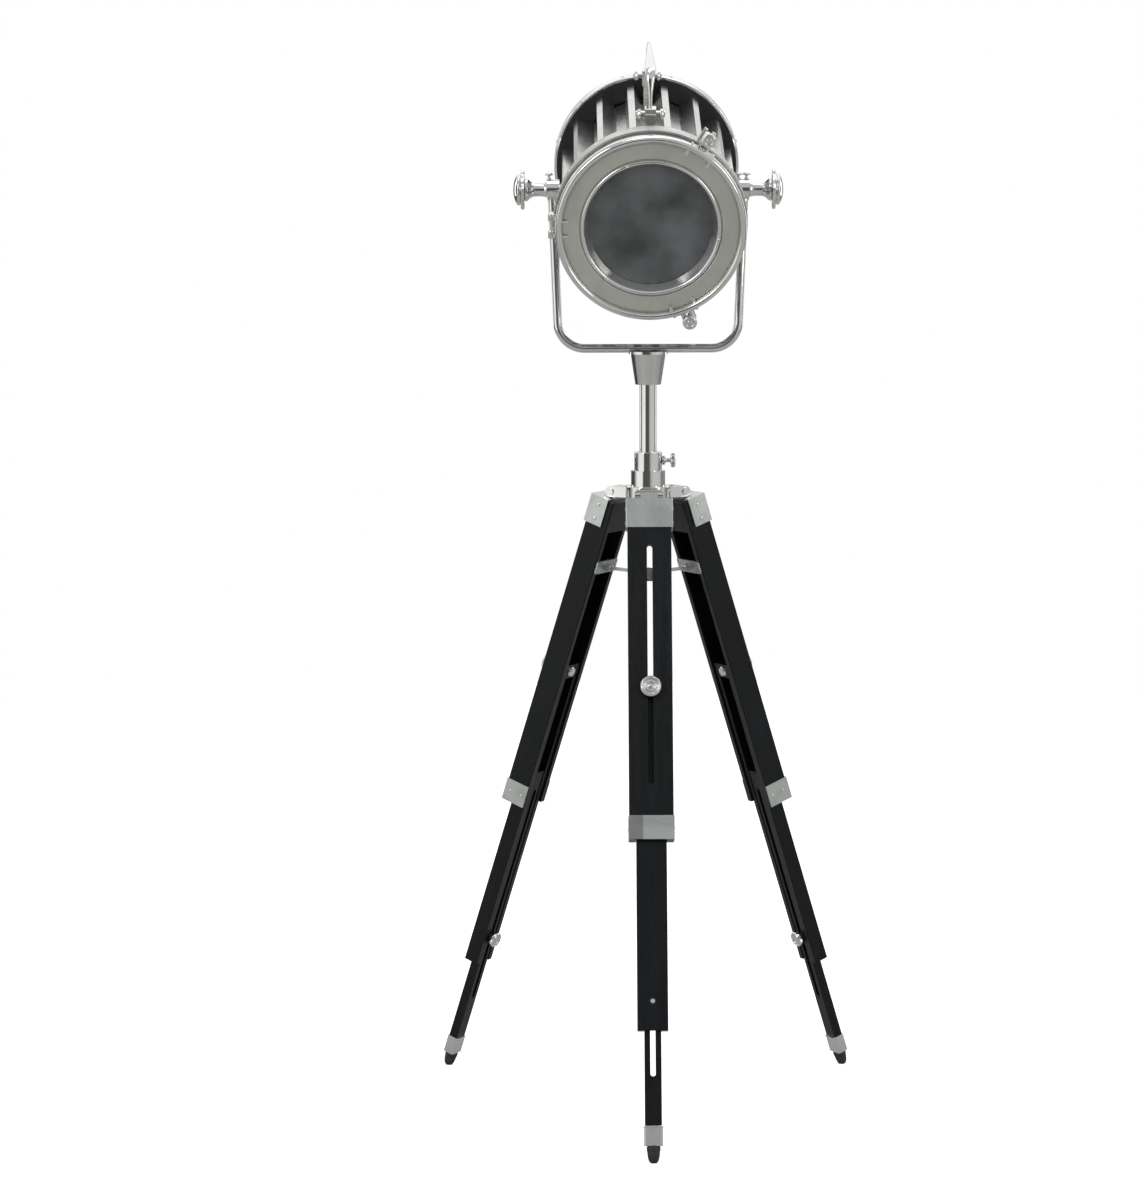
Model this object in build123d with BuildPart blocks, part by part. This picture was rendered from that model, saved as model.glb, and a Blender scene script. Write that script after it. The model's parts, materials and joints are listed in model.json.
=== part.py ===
"""Tripod floor lamp: a searchlight head in a yoke, on a mast and three telescopic wooden legs.

Millimetres, +Z up. The front leg and the lamp's face point along -Y. The origin is on the floor,
under the centre of the lamp's bounding box, and the mast stands a little behind it.
"""

from build123d import *
import math
import os

os.makedirs("parts", exist_ok=True)

# ---- driving dimensions ----
hinge_height = 930.0          # leg hinge pins above the floor
hinge_radius = 55.0           # leg hinge pins from the mast axis
leg_spread = 18.75            # each leg's lean from upright, degrees
mast_radius = 13.0
mast_below_hinge = 25.0
socket_rise = 162.0
yoke_bar_rise = 216.0      # centre of the yoke's bottom bar
trunnion_rise = 451.6      # the head's tilt axis
head_tilt = 17.6              # nose down from level, degrees
running_fit = 0.05            # radial clearance of every shaft that turns or slides in a hole
slide_fit = 0.4               # side clearance of wood sliding in wood
wood_fit = 0.1                # metal sleeves around wood
part_gap = 0.4                # air between neighbours that move past each other

# ---- leg: sizes along it are measured from the hinge pin ----
upper_width = 64.5
upper_outer_face = 19.0
upper_inner_face = -19.0
upper_wall = 11.0
upper_end = 517.0
upper_block_end = 60.0
upper_slot_start = 79.0
upper_slot_end = 436.0
upper_slot_width = 8.1
middle_width = 44.3
middle_length = 511.0
lower_reach = 162.0           # of the lower rail out of the middle one
middle_block_length = 22.0
middle_wall = 7.3
middle_inner_face = -16.1
lower_width = 24.3
lower_length = 491.0
foot_length = 19.2219         # end of the lower rail to the middle of its tip's ball
lower_thickness = 14.9
lower_slot_head = 30.0
lower_slot_foot = 97.0
lower_slot_width = 7.9
upper_bolt_inset = 12.0
lower_bolt_inset = 42.0
upper_bolt_radius = 3.8
lower_bolt_radius = 3.6
upper_knob_radius = 15.5
upper_knob_height = 11.0
lower_knob_radius = 10.35
lower_knob_height = 12.0
cap_start = 9.0
cap_end = 53.0
cap_sheet = 2.6
cap_side_depth = 31.0
band_length = 35.0
band_sheet = 1.2
ferrule_length = 27.0
ferrule_sheet = 1.6
rubber_radius = 10.0
rubber_tip_radius = 8.0
rubber_flat_depth = 2.0       # how far the tip's ball is cut off by the floor

# ---- hub, collar and hinges ----
hub_radius = 34.0
hub_below_hinge = 8.0
hub_rise = 10.0
hinge_pin_radius = 4.0
hinge_eye_radius = 8.0
tongue_width = 26.0
ear_thickness = 6.0
wide_collar_radius = 25.85
wide_collar_rise = 33.0
collar_radius = 20.8
collar_rise = 61.0
collar_screw_rise = 48.0
collar_screw_radius = 3.0
collar_screw_head_radius = 10.5
collar_screw_reach = 41.0     # outer end of its head from the mast axis

# ---- spreader ----
brace_station = 116.0
brace_pin_depth = 27.0        # brace pins inside the leg's own axis
brace_pin_radius = 2.0
brace_droop = 3.0             # the arms' slope below level, degrees
brace_arm_length = 45.0
brace_arm_thickness = 3.0
brace_arm_height = 5.0
brace_eye_radius = 9.6
brace_eye_hole_radius = 6.1
brace_ring_radius = 18.2
brace_wire_radius = 1.5
brace_ring_drop = 1.3         # ring below the centres of the eyes it runs through

# ---- yoke ----
yoke_rod_radius = 6.7
yoke_half_width_top = 143.0
yoke_half_width_bottom = 133.5
yoke_corner_radius = 40.0
yoke_boss_radius = 15.5
yoke_boss_inner = 132.0
yoke_boss_outer = 150.0
socket_top_rise = 211.5
socket_flange_radius = 29.5
socket_flange_thickness = 4.0
socket_top_radius = 26.4
socket_bottom_radius = 19.45
trunnion_radius = 8.0
trunnion_end = 168.0
lock_screw_radius = 2.5
lock_screw_reach = 25.0

# ---- head: sizes along its own axis, forward from the trunnion ----
drum_rear = -118.0
drum_front = 141.0
drum_valley_radius = 105.0
drum_crest_radius = 129.5
drum_sheet = 2.0
rib_count = 16
rib_crest_half_angle = 2.2
rib_foot_half_angle = 7.0
cover_rim_radius = 140.4
cover_sheet = 3.0
cover_depth = 22.0
cover_seat_width = 6.1        # of the drum's crests on the cover's lip
band_radius = 140.0
band_wall = 3.0
band_front = 165.0
band_flange_inner_radius = 100.0
door_radius = 137.0
door_lip_width = 9.0
door_face_setback = 7.0
door_rear = 165.6
door_front = 191.0
door_sheet = 3.0
door_face_inner_radius = 101.5
bezel_radius = 88.5
glass_front = 169.6
glass_thickness = 3.6
glass_radius = 99.0
retainer_thickness = 3.0
gasket_thickness = 2.5
door_hinge_radius = 143.0
door_hinge_pin_radius = 2.5
door_hinge_station = 170.0
door_screw_radius = 154.0     # the door screws' distance from the head's axis
door_screw_end = 150.0
door_screw_shaft_radius = 3.0
door_screw_head_radius = 10.5
door_screw_head_start = 181.4
door_screw_head_height = 8.0
door_lug_start = 172.0
door_lug_end = 180.0
door_lug_bridge = 3.0
lug_radius = 160.0
band_lug_start = 149.0
band_lug_end = 159.0
lug_gap = 1.0                 # air on each side of a door screw in its fork
upper_screw_angle = 32.0      # from the top, clockwise as seen from in front
lower_screw_angle = 158.0
handle_thickness = 9.0
handle_widest = 17.0
handle_foot_height = 156.0
handle_front_station = 104.0  # middles of the two brackets
handle_rear_station = -98.0
handle_top = 222.0
bracket_length = 18.0
bulb_radius = 30.0
holder_radius = 20.0
holder_front = -70.0

legs = {"front": -90.0, "left": 150.0, "right": 30.0}

# ---- derived places ----
spread_sin = math.sin(math.radians(leg_spread))
spread_cos = math.cos(math.radians(leg_spread))
lower_outer_face = upper_outer_face - upper_wall - slide_fit - middle_wall - slide_fit
lower_axis_depth = lower_outer_face - lower_thickness / 2
middle_outer_face = upper_outer_face - upper_wall - slide_fit
tip_ball_height = rubber_tip_radius - rubber_flat_depth
tip_station = (hinge_height + lower_axis_depth * spread_sin - tip_ball_height) / spread_cos
foot_circle_radius = hinge_radius + tip_station * spread_sin + lower_axis_depth * spread_cos
mast_y = foot_circle_radius / 4
# the rails slide out as far as the hinges' height asks
lower_end = tip_station - foot_length
ferrule_start = lower_end - ferrule_length
lower_start = lower_end - lower_length
lower_slot_start = lower_start + lower_slot_head
lower_slot_end = lower_end - lower_slot_foot
middle_end = lower_end - lower_reach
middle_start = middle_end - middle_length
upper_bolt_station = middle_start + upper_bolt_inset
lower_bolt_station = middle_end - lower_bolt_inset
band_start = upper_end - band_length
# heights that stand on the hinges
mast_bottom_height = hinge_height - mast_below_hinge
socket_bottom_height = hinge_height + socket_rise
yoke_bar_height = hinge_height + yoke_bar_rise
trunnion_height = hinge_height + trunnion_rise
hub_bottom_height = hinge_height - hub_below_hinge
hub_top_height = hinge_height + hub_rise
wide_collar_top = hinge_height + wide_collar_rise
collar_top = hinge_height + collar_rise
collar_screw_height = hinge_height + collar_screw_rise
socket_top_height = hinge_height + socket_top_rise

mast_axis = Plane(origin=(0, mast_y, 0), x_dir=(1, 0, 0), z_dir=(0, 0, 1))
tilt_sin = math.sin(math.radians(head_tilt))
tilt_cos = math.cos(math.radians(head_tilt))
head_axis = Plane(
    origin=(0, mast_y, trunnion_height), x_dir=(1, 0, 0), z_dir=(0, -tilt_cos, -tilt_sin)
)


def leg_plane(azimuth):
    """Plane at a leg's hinge pin: local x across the leg, y outwards, z down along the leg."""
    turn = math.radians(azimuth)
    out_x = math.cos(turn)
    out_y = math.sin(turn)
    return Plane(
        origin=(hinge_radius * out_x, mast_y + hinge_radius * out_y, hinge_height),
        x_dir=(-out_y, out_x, 0),
        z_dir=(spread_sin * out_x, spread_sin * out_y, -spread_cos),
    )


def across(plane, station, depth):
    """Plane on a leg whose normal points outwards, at a station along it and a depth."""
    origin = plane.from_local_coords((0, depth, station))
    return Plane(origin=origin, x_dir=plane.x_dir, z_dir=plane.y_dir)


def sideways(plane, station, depth):
    """Plane on a leg whose normal points across it, along the hinge pins."""
    origin = plane.from_local_coords((0, depth, station))
    return Plane(origin=origin, x_dir=plane.z_dir, z_dir=plane.x_dir)


def finish(piece, name):
    """Label a finished sub-part and write its file."""
    piece.part.label = name
    export_step(piece.part, "parts/" + name + ".step")


# ---- legs ----
def leg_upper(plane):
    """Wooden channel, open inwards, with a long slot through its outer wall."""
    start = cap_start + cap_sheet
    middle_depth = (upper_outer_face + upper_inner_face) / 2
    channel_width = middle_width + 2 * slide_fit
    channel_floor = upper_outer_face - upper_wall
    with BuildPart() as wood:
        with BuildSketch(plane.offset(start)):
            with Locations((0, middle_depth)):
                Rectangle(upper_width, upper_outer_face - upper_inner_face)
        extrude(amount=upper_end - start)
        long_edges = wood.edges().filter_by(Axis(plane.origin, plane.z_dir))
        chamfer(long_edges, length=1.0)
        with BuildSketch(plane.offset(upper_block_end)):
            with Locations((0, channel_floor)):
                Rectangle(channel_width, 60, align=(Align.CENTER, Align.MAX))
        extrude(amount=upper_end, mode=Mode.SUBTRACT)
        slot_middle = (upper_slot_start + upper_slot_end) / 2
        with BuildSketch(across(plane, slot_middle, upper_outer_face + 1)):
            SlotOverall(upper_slot_end - upper_slot_start, upper_slot_width, rotation=90)
        extrude(amount=-upper_wall - 2, mode=Mode.SUBTRACT)
    return wood


def leg_cap(plane):
    """Metal cap around the leg's top, with the tongue and eye that hang on the hinge pin."""
    half_height = upper_outer_face + wood_fit + cap_sheet
    depth = cap_side_depth
    with BuildPart() as cap:
        with BuildSketch(plane.offset(cap_start)):
            with Locations((0, half_height)):
                Rectangle(
                    upper_width + 2 * (wood_fit + cap_sheet),
                    depth,
                    align=(Align.CENTER, Align.MAX),
                )
        extrude(amount=cap_end - cap_start)
        long_edges = cap.edges().filter_by(Axis(plane.origin, plane.z_dir))
        fillet(long_edges.group_by(Axis(plane.origin, plane.y_dir))[-1], radius=1.8)
        with BuildSketch(plane.offset(cap_start + cap_sheet)):
            with Locations((0, upper_outer_face + wood_fit)):
                Rectangle(upper_width + 2 * wood_fit, 80, align=(Align.CENTER, Align.MAX))
        extrude(amount=cap_end, mode=Mode.SUBTRACT)
        with BuildSketch(sideways(plane, 0, 0).offset(-tongue_width / 2)):
            Circle(hinge_eye_radius)
            with Locations((0, 0)):
                Rectangle(
                    cap_start + 1, 2 * hinge_eye_radius, align=(Align.MIN, Align.CENTER)
                )
        extrude(amount=tongue_width)
        with BuildSketch(sideways(plane, 0, 0).offset(-tongue_width)):
            Circle(hinge_pin_radius + running_fit)
        extrude(amount=2 * tongue_width, mode=Mode.SUBTRACT)
    return cap


def leg_band(plane):
    """Thin metal strap round the outside of the leg's lower end."""
    with BuildPart() as band:
        with BuildSketch(plane.offset(band_start)):
            with Locations((0, upper_outer_face + band_sheet)):
                Rectangle(
                    upper_width + 2 * band_sheet,
                    upper_outer_face - upper_inner_face + band_sheet,
                    align=(Align.CENTER, Align.MAX),
                )
            with Locations((0, upper_outer_face)):
                Rectangle(
                    upper_width, 80, align=(Align.CENTER, Align.MAX), mode=Mode.SUBTRACT
                )
        extrude(amount=upper_end - band_start)
    return band


def leg_brace_bracket(plane):
    """Strap across the channel's mouth, with two lugs and the pin of the brace arm."""
    strap_thickness = 2.5
    lug_thickness = 3.0
    lug_radius = 4.5
    lug_inner = brace_arm_thickness / 2 + part_gap
    with BuildPart() as bracket:
        with BuildSketch(across(plane, brace_station, upper_inner_face)):
            RectangleRounded(upper_width - 4, 20, 3)
        extrude(amount=-strap_thickness)
        for side in (-1, 1):
            lug_plane = sideways(plane, brace_station, -brace_pin_depth)
            with BuildSketch(lug_plane.offset(side * lug_inner)):
                Circle(lug_radius)
                reach = brace_pin_depth + upper_inner_face - 1
                with Locations((0, -reach / 2)):
                    Rectangle(2 * lug_radius, reach)
            extrude(amount=side * lug_thickness)
        pin_half = lug_inner + lug_thickness + 1.5
        with BuildSketch(sideways(plane, brace_station, -brace_pin_depth).offset(-pin_half)):
            Circle(brace_pin_radius)
        extrude(amount=2 * pin_half)
    return bracket


def leg_middle(plane):
    """Sliding middle rail: a narrower channel with a solid block at its top."""
    depth = middle_outer_face - middle_inner_face
    with BuildPart() as rail:
        with BuildSketch(plane.offset(middle_start)):
            with Locations((0, middle_outer_face)):
                Rectangle(middle_width, depth, align=(Align.CENTER, Align.MAX))
        extrude(amount=middle_end - middle_start)
        long_edges = rail.edges().filter_by(Axis(plane.origin, plane.z_dir))
        chamfer(long_edges, length=0.8)
        with BuildSketch(plane.offset(middle_start + middle_block_length)):
            with Locations((0, middle_outer_face - middle_wall)):
                Rectangle(
                    lower_width + 2 * slide_fit, 60, align=(Align.CENTER, Align.MAX)
                )
        extrude(amount=middle_end, mode=Mode.SUBTRACT)
        with BuildSketch(across(plane, upper_bolt_station, middle_inner_face - 1)):
            Circle(upper_bolt_radius + running_fit)
        extrude(amount=depth + 2, mode=Mode.SUBTRACT)
        with BuildSketch(across(plane, lower_bolt_station, middle_outer_face + 1)):
            Circle(lower_bolt_radius + running_fit)
        extrude(amount=-middle_wall - 2, mode=Mode.SUBTRACT)
    return rail


upper_knob_start = upper_outer_face + part_gap
lower_knob_start = lower_outer_face - lower_thickness - part_gap


def clamp_bolts(plane):
    """Two dome-headed bolts held in the middle rail, one for each clamping knob."""
    upper_head_height = 2.4
    lower_head_height = 3.0
    lower_head_radius = 4.8
    with BuildPart() as bolts:
        with BuildSketch(across(plane, upper_bolt_station, middle_inner_face)):
            Circle(upper_bolt_radius)
        extrude(amount=upper_knob_start + upper_knob_height - 3 - middle_inner_face)
        with BuildSketch(across(plane, upper_bolt_station, middle_inner_face)):
            Circle(8.0)
        extrude(amount=-upper_head_height, taper=30)
        with BuildSketch(across(plane, lower_bolt_station, middle_outer_face)):
            Circle(lower_bolt_radius)
        extrude(amount=lower_knob_start - lower_knob_height + 3 - middle_outer_face)
        with BuildSketch(across(plane, lower_bolt_station, middle_outer_face)):
            Circle(lower_head_radius)
        extrude(amount=lower_head_height, taper=30)
    return bolts


def leg_lower(plane):
    """Sliding lower rail: a solid bar with a long slot."""
    with BuildPart() as rail:
        with BuildSketch(plane.offset(lower_start)):
            with Locations((0, lower_outer_face)):
                Rectangle(lower_width, lower_thickness, align=(Align.CENTER, Align.MAX))
        extrude(amount=lower_end - lower_start)
        long_edges = rail.edges().filter_by(Axis(plane.origin, plane.z_dir))
        chamfer(long_edges, length=0.8)
        slot_middle = (lower_slot_start + lower_slot_end) / 2
        with BuildSketch(across(plane, slot_middle, lower_outer_face + 1)):
            SlotOverall(lower_slot_end - lower_slot_start, lower_slot_width, rotation=90)
        extrude(amount=-lower_thickness - 2, mode=Mode.SUBTRACT)
    return rail


def leg_foot(plane):
    """Metal ferrule round the lower rail's end, and a rubber tip cut off level with the floor."""
    sleeve = wood_fit + ferrule_sheet
    flange_start = lower_end + ferrule_sheet
    tip_axis = Plane(
        origin=plane.from_local_coords((0, lower_axis_depth, 0)),
        x_dir=plane.x_dir,
        z_dir=plane.y_dir,
    )
    with BuildPart() as ferrule:
        with BuildSketch(plane.offset(ferrule_start)):
            with Locations((0, lower_axis_depth)):
                RectangleRounded(lower_width + 2 * sleeve, lower_thickness + 2 * sleeve, 1.5)
        extrude(amount=flange_start - ferrule_start)
        with BuildSketch(plane.offset(ferrule_start - 1)):
            with Locations((0, lower_axis_depth)):
                Rectangle(lower_width + 2 * wood_fit, lower_thickness + 2 * wood_fit)
        extrude(amount=lower_end - ferrule_start + 1, mode=Mode.SUBTRACT)
    with BuildPart() as rubber:
        with BuildSketch(tip_axis):
            with BuildLine():
                side = Line((0, -flange_start), (rubber_radius, -flange_start))
                drop = Line(side @ 1, (rubber_radius, -flange_start - 7))
                foot_end = (0, -tip_station - rubber_tip_radius)
                Spline(
                    drop @ 1,
                    (rubber_tip_radius, -tip_station),
                    foot_end,
                    tangents=[(0, -1), (-1, 0)],
                )
                Line(foot_end, (0, -flange_start))
            make_face()
        revolve(axis=Axis(tip_axis.origin, plane.z_dir))
        floor = Plane(origin=(0, 0, 0), z_dir=(0, 0, 1))
        split(bisect_by=floor, keep=Keep.TOP)
    with BuildPart() as foot:
        add(ferrule.part)
        add(rubber.part)
    return foot


def upper_knob(plane):
    """Round clamping knob with a stepped face, blind-bored for its bolt."""
    with BuildPart() as knob:
        with BuildSketch(across(plane, upper_bolt_station, upper_knob_start)):
            Circle(upper_knob_radius - 3)
        extrude(amount=3)
        with BuildSketch(across(plane, upper_bolt_station, upper_knob_start + 3)):
            Circle(upper_knob_radius)
        extrude(amount=upper_knob_height - 3)
        rims = knob.edges().filter_by(GeomType.CIRCLE).group_by(SortBy.RADIUS)[-1]
        fillet(rims, radius=1.5)
        with BuildSketch(across(plane, upper_bolt_station, upper_knob_start)):
            Circle(upper_bolt_radius + running_fit)
        extrude(amount=upper_knob_height - 2.5, mode=Mode.SUBTRACT)
    return knob


def lower_knob(plane):
    """Smaller round clamping knob on the inner side of the middle rail."""
    with BuildPart() as knob:
        with BuildSketch(across(plane, lower_bolt_station, lower_knob_start)):
            Circle(lower_knob_radius - 3)
        extrude(amount=-4)
        with BuildSketch(across(plane, lower_bolt_station, lower_knob_start - 4)):
            Circle(lower_knob_radius)
        extrude(amount=-lower_knob_height + 4)
        rims = knob.edges().filter_by(GeomType.CIRCLE).group_by(SortBy.RADIUS)[-1]
        fillet(rims, radius=1.5)
        with BuildSketch(across(plane, lower_bolt_station, lower_knob_start)):
            Circle(lower_bolt_radius + running_fit)
        extrude(amount=-lower_knob_height + 2.5, mode=Mode.SUBTRACT)
    return knob


def brace_arm(plane, azimuth):
    """Flat arm from the leg's bracket pin to the loose ring at the middle of the spreader."""
    turn = math.radians(azimuth)
    droop = math.radians(brace_droop)
    inwards = (
        -math.cos(turn) * math.cos(droop),
        -math.sin(turn) * math.cos(droop),
        -math.sin(droop),
    )
    pin = plane.from_local_coords((0, -brace_pin_depth, brace_station))
    flat = Plane(origin=pin, x_dir=inwards, z_dir=plane.x_dir)
    with BuildPart() as arm:
        with BuildSketch(flat.offset(-brace_arm_thickness / 2)):
            with Locations((brace_arm_length / 2, 0)):
                Rectangle(brace_arm_length, brace_arm_height)
            Circle(4.2)
            Circle(brace_pin_radius + running_fit, mode=Mode.SUBTRACT)
            with Locations((brace_arm_length, 0)):
                Circle(brace_eye_radius)
                Circle(brace_eye_hole_radius, mode=Mode.SUBTRACT)
        extrude(amount=brace_arm_thickness)
    return arm


for side, azimuth in legs.items():
    place = leg_plane(azimuth)
    prefix = "leg_" + side + "_"
    finish(leg_upper(place), prefix + "upper")
    finish(leg_cap(place), prefix + "cap")
    finish(leg_band(place), prefix + "band")
    finish(leg_brace_bracket(place), prefix + "brace_bracket")
    finish(leg_middle(place), prefix + "middle")
    finish(clamp_bolts(place), prefix + "clamp_bolts")
    finish(leg_lower(place), prefix + "lower")
    finish(leg_foot(place), prefix + "foot")
    finish(upper_knob(place), prefix + "upper_knob")
    finish(lower_knob(place), prefix + "lower_knob")
    finish(brace_arm(place, azimuth), prefix + "brace_arm")

# ---- hub, hinge pins and mast collar ----
ear_inner = tongue_width / 2 + part_gap
with BuildPart() as hub_casting:
    with BuildSketch(mast_axis.offset(hub_bottom_height)):
        Circle(hub_radius)
    extrude(amount=hub_top_height - hub_bottom_height)
    top_rim = hub_casting.edges().filter_by(GeomType.CIRCLE).group_by(Axis.Z)[-1]
    fillet(top_rim, radius=1.5)
    for azimuth in legs.values():
        hinge = leg_plane(azimuth)
        level = Plane(origin=hinge.origin, x_dir=(0, 0, 1), z_dir=hinge.x_dir)
        for side in (-1, 1):
            with BuildSketch(level.offset(side * ear_inner)):
                Circle(hinge_eye_radius)
                with Locations((0, 0)):
                    Rectangle(
                        2 * hinge_eye_radius,
                        hinge_radius - hub_radius + 6,
                        align=(Align.CENTER, Align.MAX),
                    )
                Circle(hinge_pin_radius + running_fit, mode=Mode.SUBTRACT)
            extrude(amount=side * ear_thickness)
    with BuildSketch(mast_axis.offset(hub_bottom_height - 1)):
        Circle(mast_radius + running_fit)
    extrude(amount=hub_top_height, mode=Mode.SUBTRACT)
finish(hub_casting, "hub_casting")

pin_head_thickness = 2.0
with BuildPart() as hinge_pins:
    for azimuth in legs.values():
        hinge = leg_plane(azimuth)
        outer = ear_inner + ear_thickness
        sideways_hinge = sideways(hinge, 0, 0)
        with BuildSketch(sideways_hinge.offset(-outer)):
            Circle(hinge_pin_radius)
        extrude(amount=2 * outer)
        for side in (-1, 1):
            with BuildSketch(sideways_hinge.offset(side * outer)):
                Circle(hinge_pin_radius + 1.8)
            extrude(amount=side * pin_head_thickness)
finish(hinge_pins, "hinge_pins")

collar_bore = mast_radius + running_fit
with BuildPart() as mast_collar:
    with BuildSketch(mast_axis.offset(hub_top_height)):
        Circle(wide_collar_radius)
        Circle(collar_bore, mode=Mode.SUBTRACT)
    extrude(amount=wide_collar_top - hub_top_height)
    with BuildSketch(mast_axis.offset(wide_collar_top)):
        Circle(collar_radius)
        Circle(collar_bore, mode=Mode.SUBTRACT)
    extrude(amount=collar_top - wide_collar_top)
    outer_rims = mast_collar.edges().filter_by(GeomType.CIRCLE)
    fillet(outer_rims.group_by(Axis.Z)[-1].sort_by(SortBy.RADIUS)[-1:], radius=1.2)
    screw_hole = Plane(origin=(0, mast_y, collar_screw_height), x_dir=(0, 1, 0), z_dir=(1, 0, 0))
    with BuildSketch(screw_hole):
        Circle(collar_screw_radius + running_fit)
    extrude(amount=collar_radius + 1, mode=Mode.SUBTRACT)
finish(mast_collar, "mast_collar")

with BuildPart() as collar_thumbscrew:
    with BuildSketch(screw_hole.offset(mast_radius + part_gap)):
        Circle(collar_screw_radius)
    extrude(amount=collar_screw_reach - 5 - mast_radius - part_gap)
    with BuildSketch(screw_hole.offset(collar_radius + 1)):
        Circle(6.5)
    extrude(amount=4, taper=20)
    with BuildSketch(screw_hole.offset(collar_screw_reach - 5)):
        Circle(collar_screw_head_radius)
    extrude(amount=5)
    head_rims = collar_thumbscrew.edges().filter_by(GeomType.CIRCLE)
    fillet(head_rims.group_by(SortBy.RADIUS)[-1], radius=1.5)
finish(collar_thumbscrew, "collar_thumbscrew")

ring_height = (
    hinge_height
    - brace_station * spread_cos
    - brace_pin_depth * spread_sin
    - brace_arm_length * math.sin(math.radians(brace_droop))
    - brace_ring_drop
)
with BuildPart() as brace_ring:
    wire_plane = Plane(origin=(0, mast_y, ring_height), x_dir=(1, 0, 0), z_dir=(0, -1, 0))
    with BuildSketch(wire_plane):
        with Locations((brace_ring_radius, 0)):
            Circle(brace_wire_radius)
    revolve(axis=Axis((0, mast_y, ring_height), (0, 0, 1)))
finish(brace_ring, "brace_ring")

# ---- mast and yoke ----
mast_top_height = socket_top_height - 12
with BuildPart() as mast_tube:
    with BuildSketch(mast_axis.offset(mast_bottom_height)):
        Circle(mast_radius)
        Circle(mast_radius - 2, mode=Mode.SUBTRACT)
    extrude(amount=mast_top_height - mast_bottom_height)
finish(mast_tube, "mast_tube")

profile_plane = Plane(origin=(0, mast_y, 0), x_dir=(1, 0, 0), z_dir=(0, -1, 0))
flange_bottom = socket_top_height - socket_flange_thickness
with BuildPart() as yoke_socket:
    with BuildSketch(profile_plane):
        Polygon(
            (0, socket_bottom_height),
            (socket_bottom_radius, socket_bottom_height),
            (socket_top_radius, flange_bottom),
            (socket_flange_radius, flange_bottom),
            (socket_flange_radius, socket_top_height),
            (0, socket_top_height),
            align=None,
        )
    revolve(axis=Axis((0, mast_y, 0), (0, 0, 1)))
    with BuildSketch(mast_axis.offset(socket_bottom_height)):
        Circle(mast_radius + running_fit)
    extrude(amount=mast_top_height + 0.2 - socket_bottom_height, mode=Mode.SUBTRACT)
finish(yoke_socket, "yoke_socket")

with BuildPart() as yoke_frame:
    with BuildLine(profile_plane) as yoke_path:
        FilletPolyline(
            (-yoke_half_width_top, trunnion_height),
            (-yoke_half_width_bottom, yoke_bar_height),
            (yoke_half_width_bottom, yoke_bar_height),
            (yoke_half_width_top, trunnion_height),
            radius=yoke_corner_radius,
        )
    start = yoke_path.wire() ^ 0
    with BuildSketch(Plane(origin=start.position, z_dir=start.z_axis.direction)):
        Circle(yoke_rod_radius)
    sweep(path=yoke_path.wire())
    for side in (-1, 1):
        boss = Plane(origin=(0, mast_y, trunnion_height), x_dir=(0, 1, 0), z_dir=(side, 0, 0))
        with BuildSketch(boss.offset(yoke_boss_inner)):
            Circle(yoke_boss_radius)
        extrude(amount=yoke_boss_outer - yoke_boss_inner)
    with BuildSketch(boss.offset(-trunnion_end)):
        Circle(trunnion_radius + running_fit)
    extrude(amount=2 * trunnion_end, mode=Mode.SUBTRACT)
finish(yoke_frame, "yoke_frame")

lock_screw_places = (yoke_half_width_top + 2, -yoke_half_width_top - 2)
with BuildPart() as tilt_lock_screws:
    for place in lock_screw_places:
        screw_foot = Plane(origin=(place, mast_y, trunnion_height + yoke_boss_radius - 0.2))
        with BuildSketch(screw_foot):
            Circle(lock_screw_radius)
        extrude(amount=lock_screw_reach - yoke_boss_radius)
        with BuildSketch(screw_foot.offset(lock_screw_reach - yoke_boss_radius - 3)):
            Circle(5.5)
        extrude(amount=3.2)
finish(tilt_lock_screws, "tilt_lock_screws")

# ---- tilt knobs and trunnions ----
knob_stem_start = yoke_boss_outer + part_gap
knob_neck_start = 176.0
knob_disc_start = 184.0
knob_end = 201.0
dome_rim_radius = 24.0
dome_height = 8.0
dome_radius = (dome_rim_radius**2 + dome_height**2) / (2 * dome_height)
dome_angle = math.degrees(math.asin(dome_rim_radius / dome_radius))
for side_name, side in (("left", -1), ("right", 1)):
    knob_profile = Plane(
        origin=(0, mast_y, trunnion_height), x_dir=(side, 0, 0), z_dir=(0, -side, 0)
    )
    with BuildPart() as tilt_knob:
        with BuildSketch(knob_profile):
            with BuildLine():
                stem = Line((knob_stem_start, 0), (knob_stem_start, 11))
                waist = ThreePointArc(
                    stem @ 1,
                    ((knob_stem_start + knob_neck_start) / 2, 9.6),
                    (knob_neck_start, 11),
                )
                neck = Polyline(
                    waist @ 1,
                    (knob_neck_start, 15),
                    (knob_disc_start, 12),
                    (knob_disc_start, 27),
                    (knob_disc_start + 6, 29),
                    (knob_end - dome_height, dome_rim_radius),
                )
                CenterArc((knob_end - dome_radius, 0), dome_radius, 0, dome_angle)
                Line((knob_end, 0), stem @ 0)
            make_face()
        revolve(axis=Axis(knob_profile.origin, knob_profile.x_dir))
        bore = Plane(origin=knob_profile.origin, x_dir=(0, 0, 1), z_dir=knob_profile.x_dir)
        with BuildSketch(bore.offset(knob_stem_start - 1)):
            Circle(trunnion_radius + running_fit)
        extrude(amount=trunnion_end + 1 - knob_stem_start + 1, mode=Mode.SUBTRACT)
    finish(tilt_knob, "tilt_knob_" + side_name)

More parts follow.
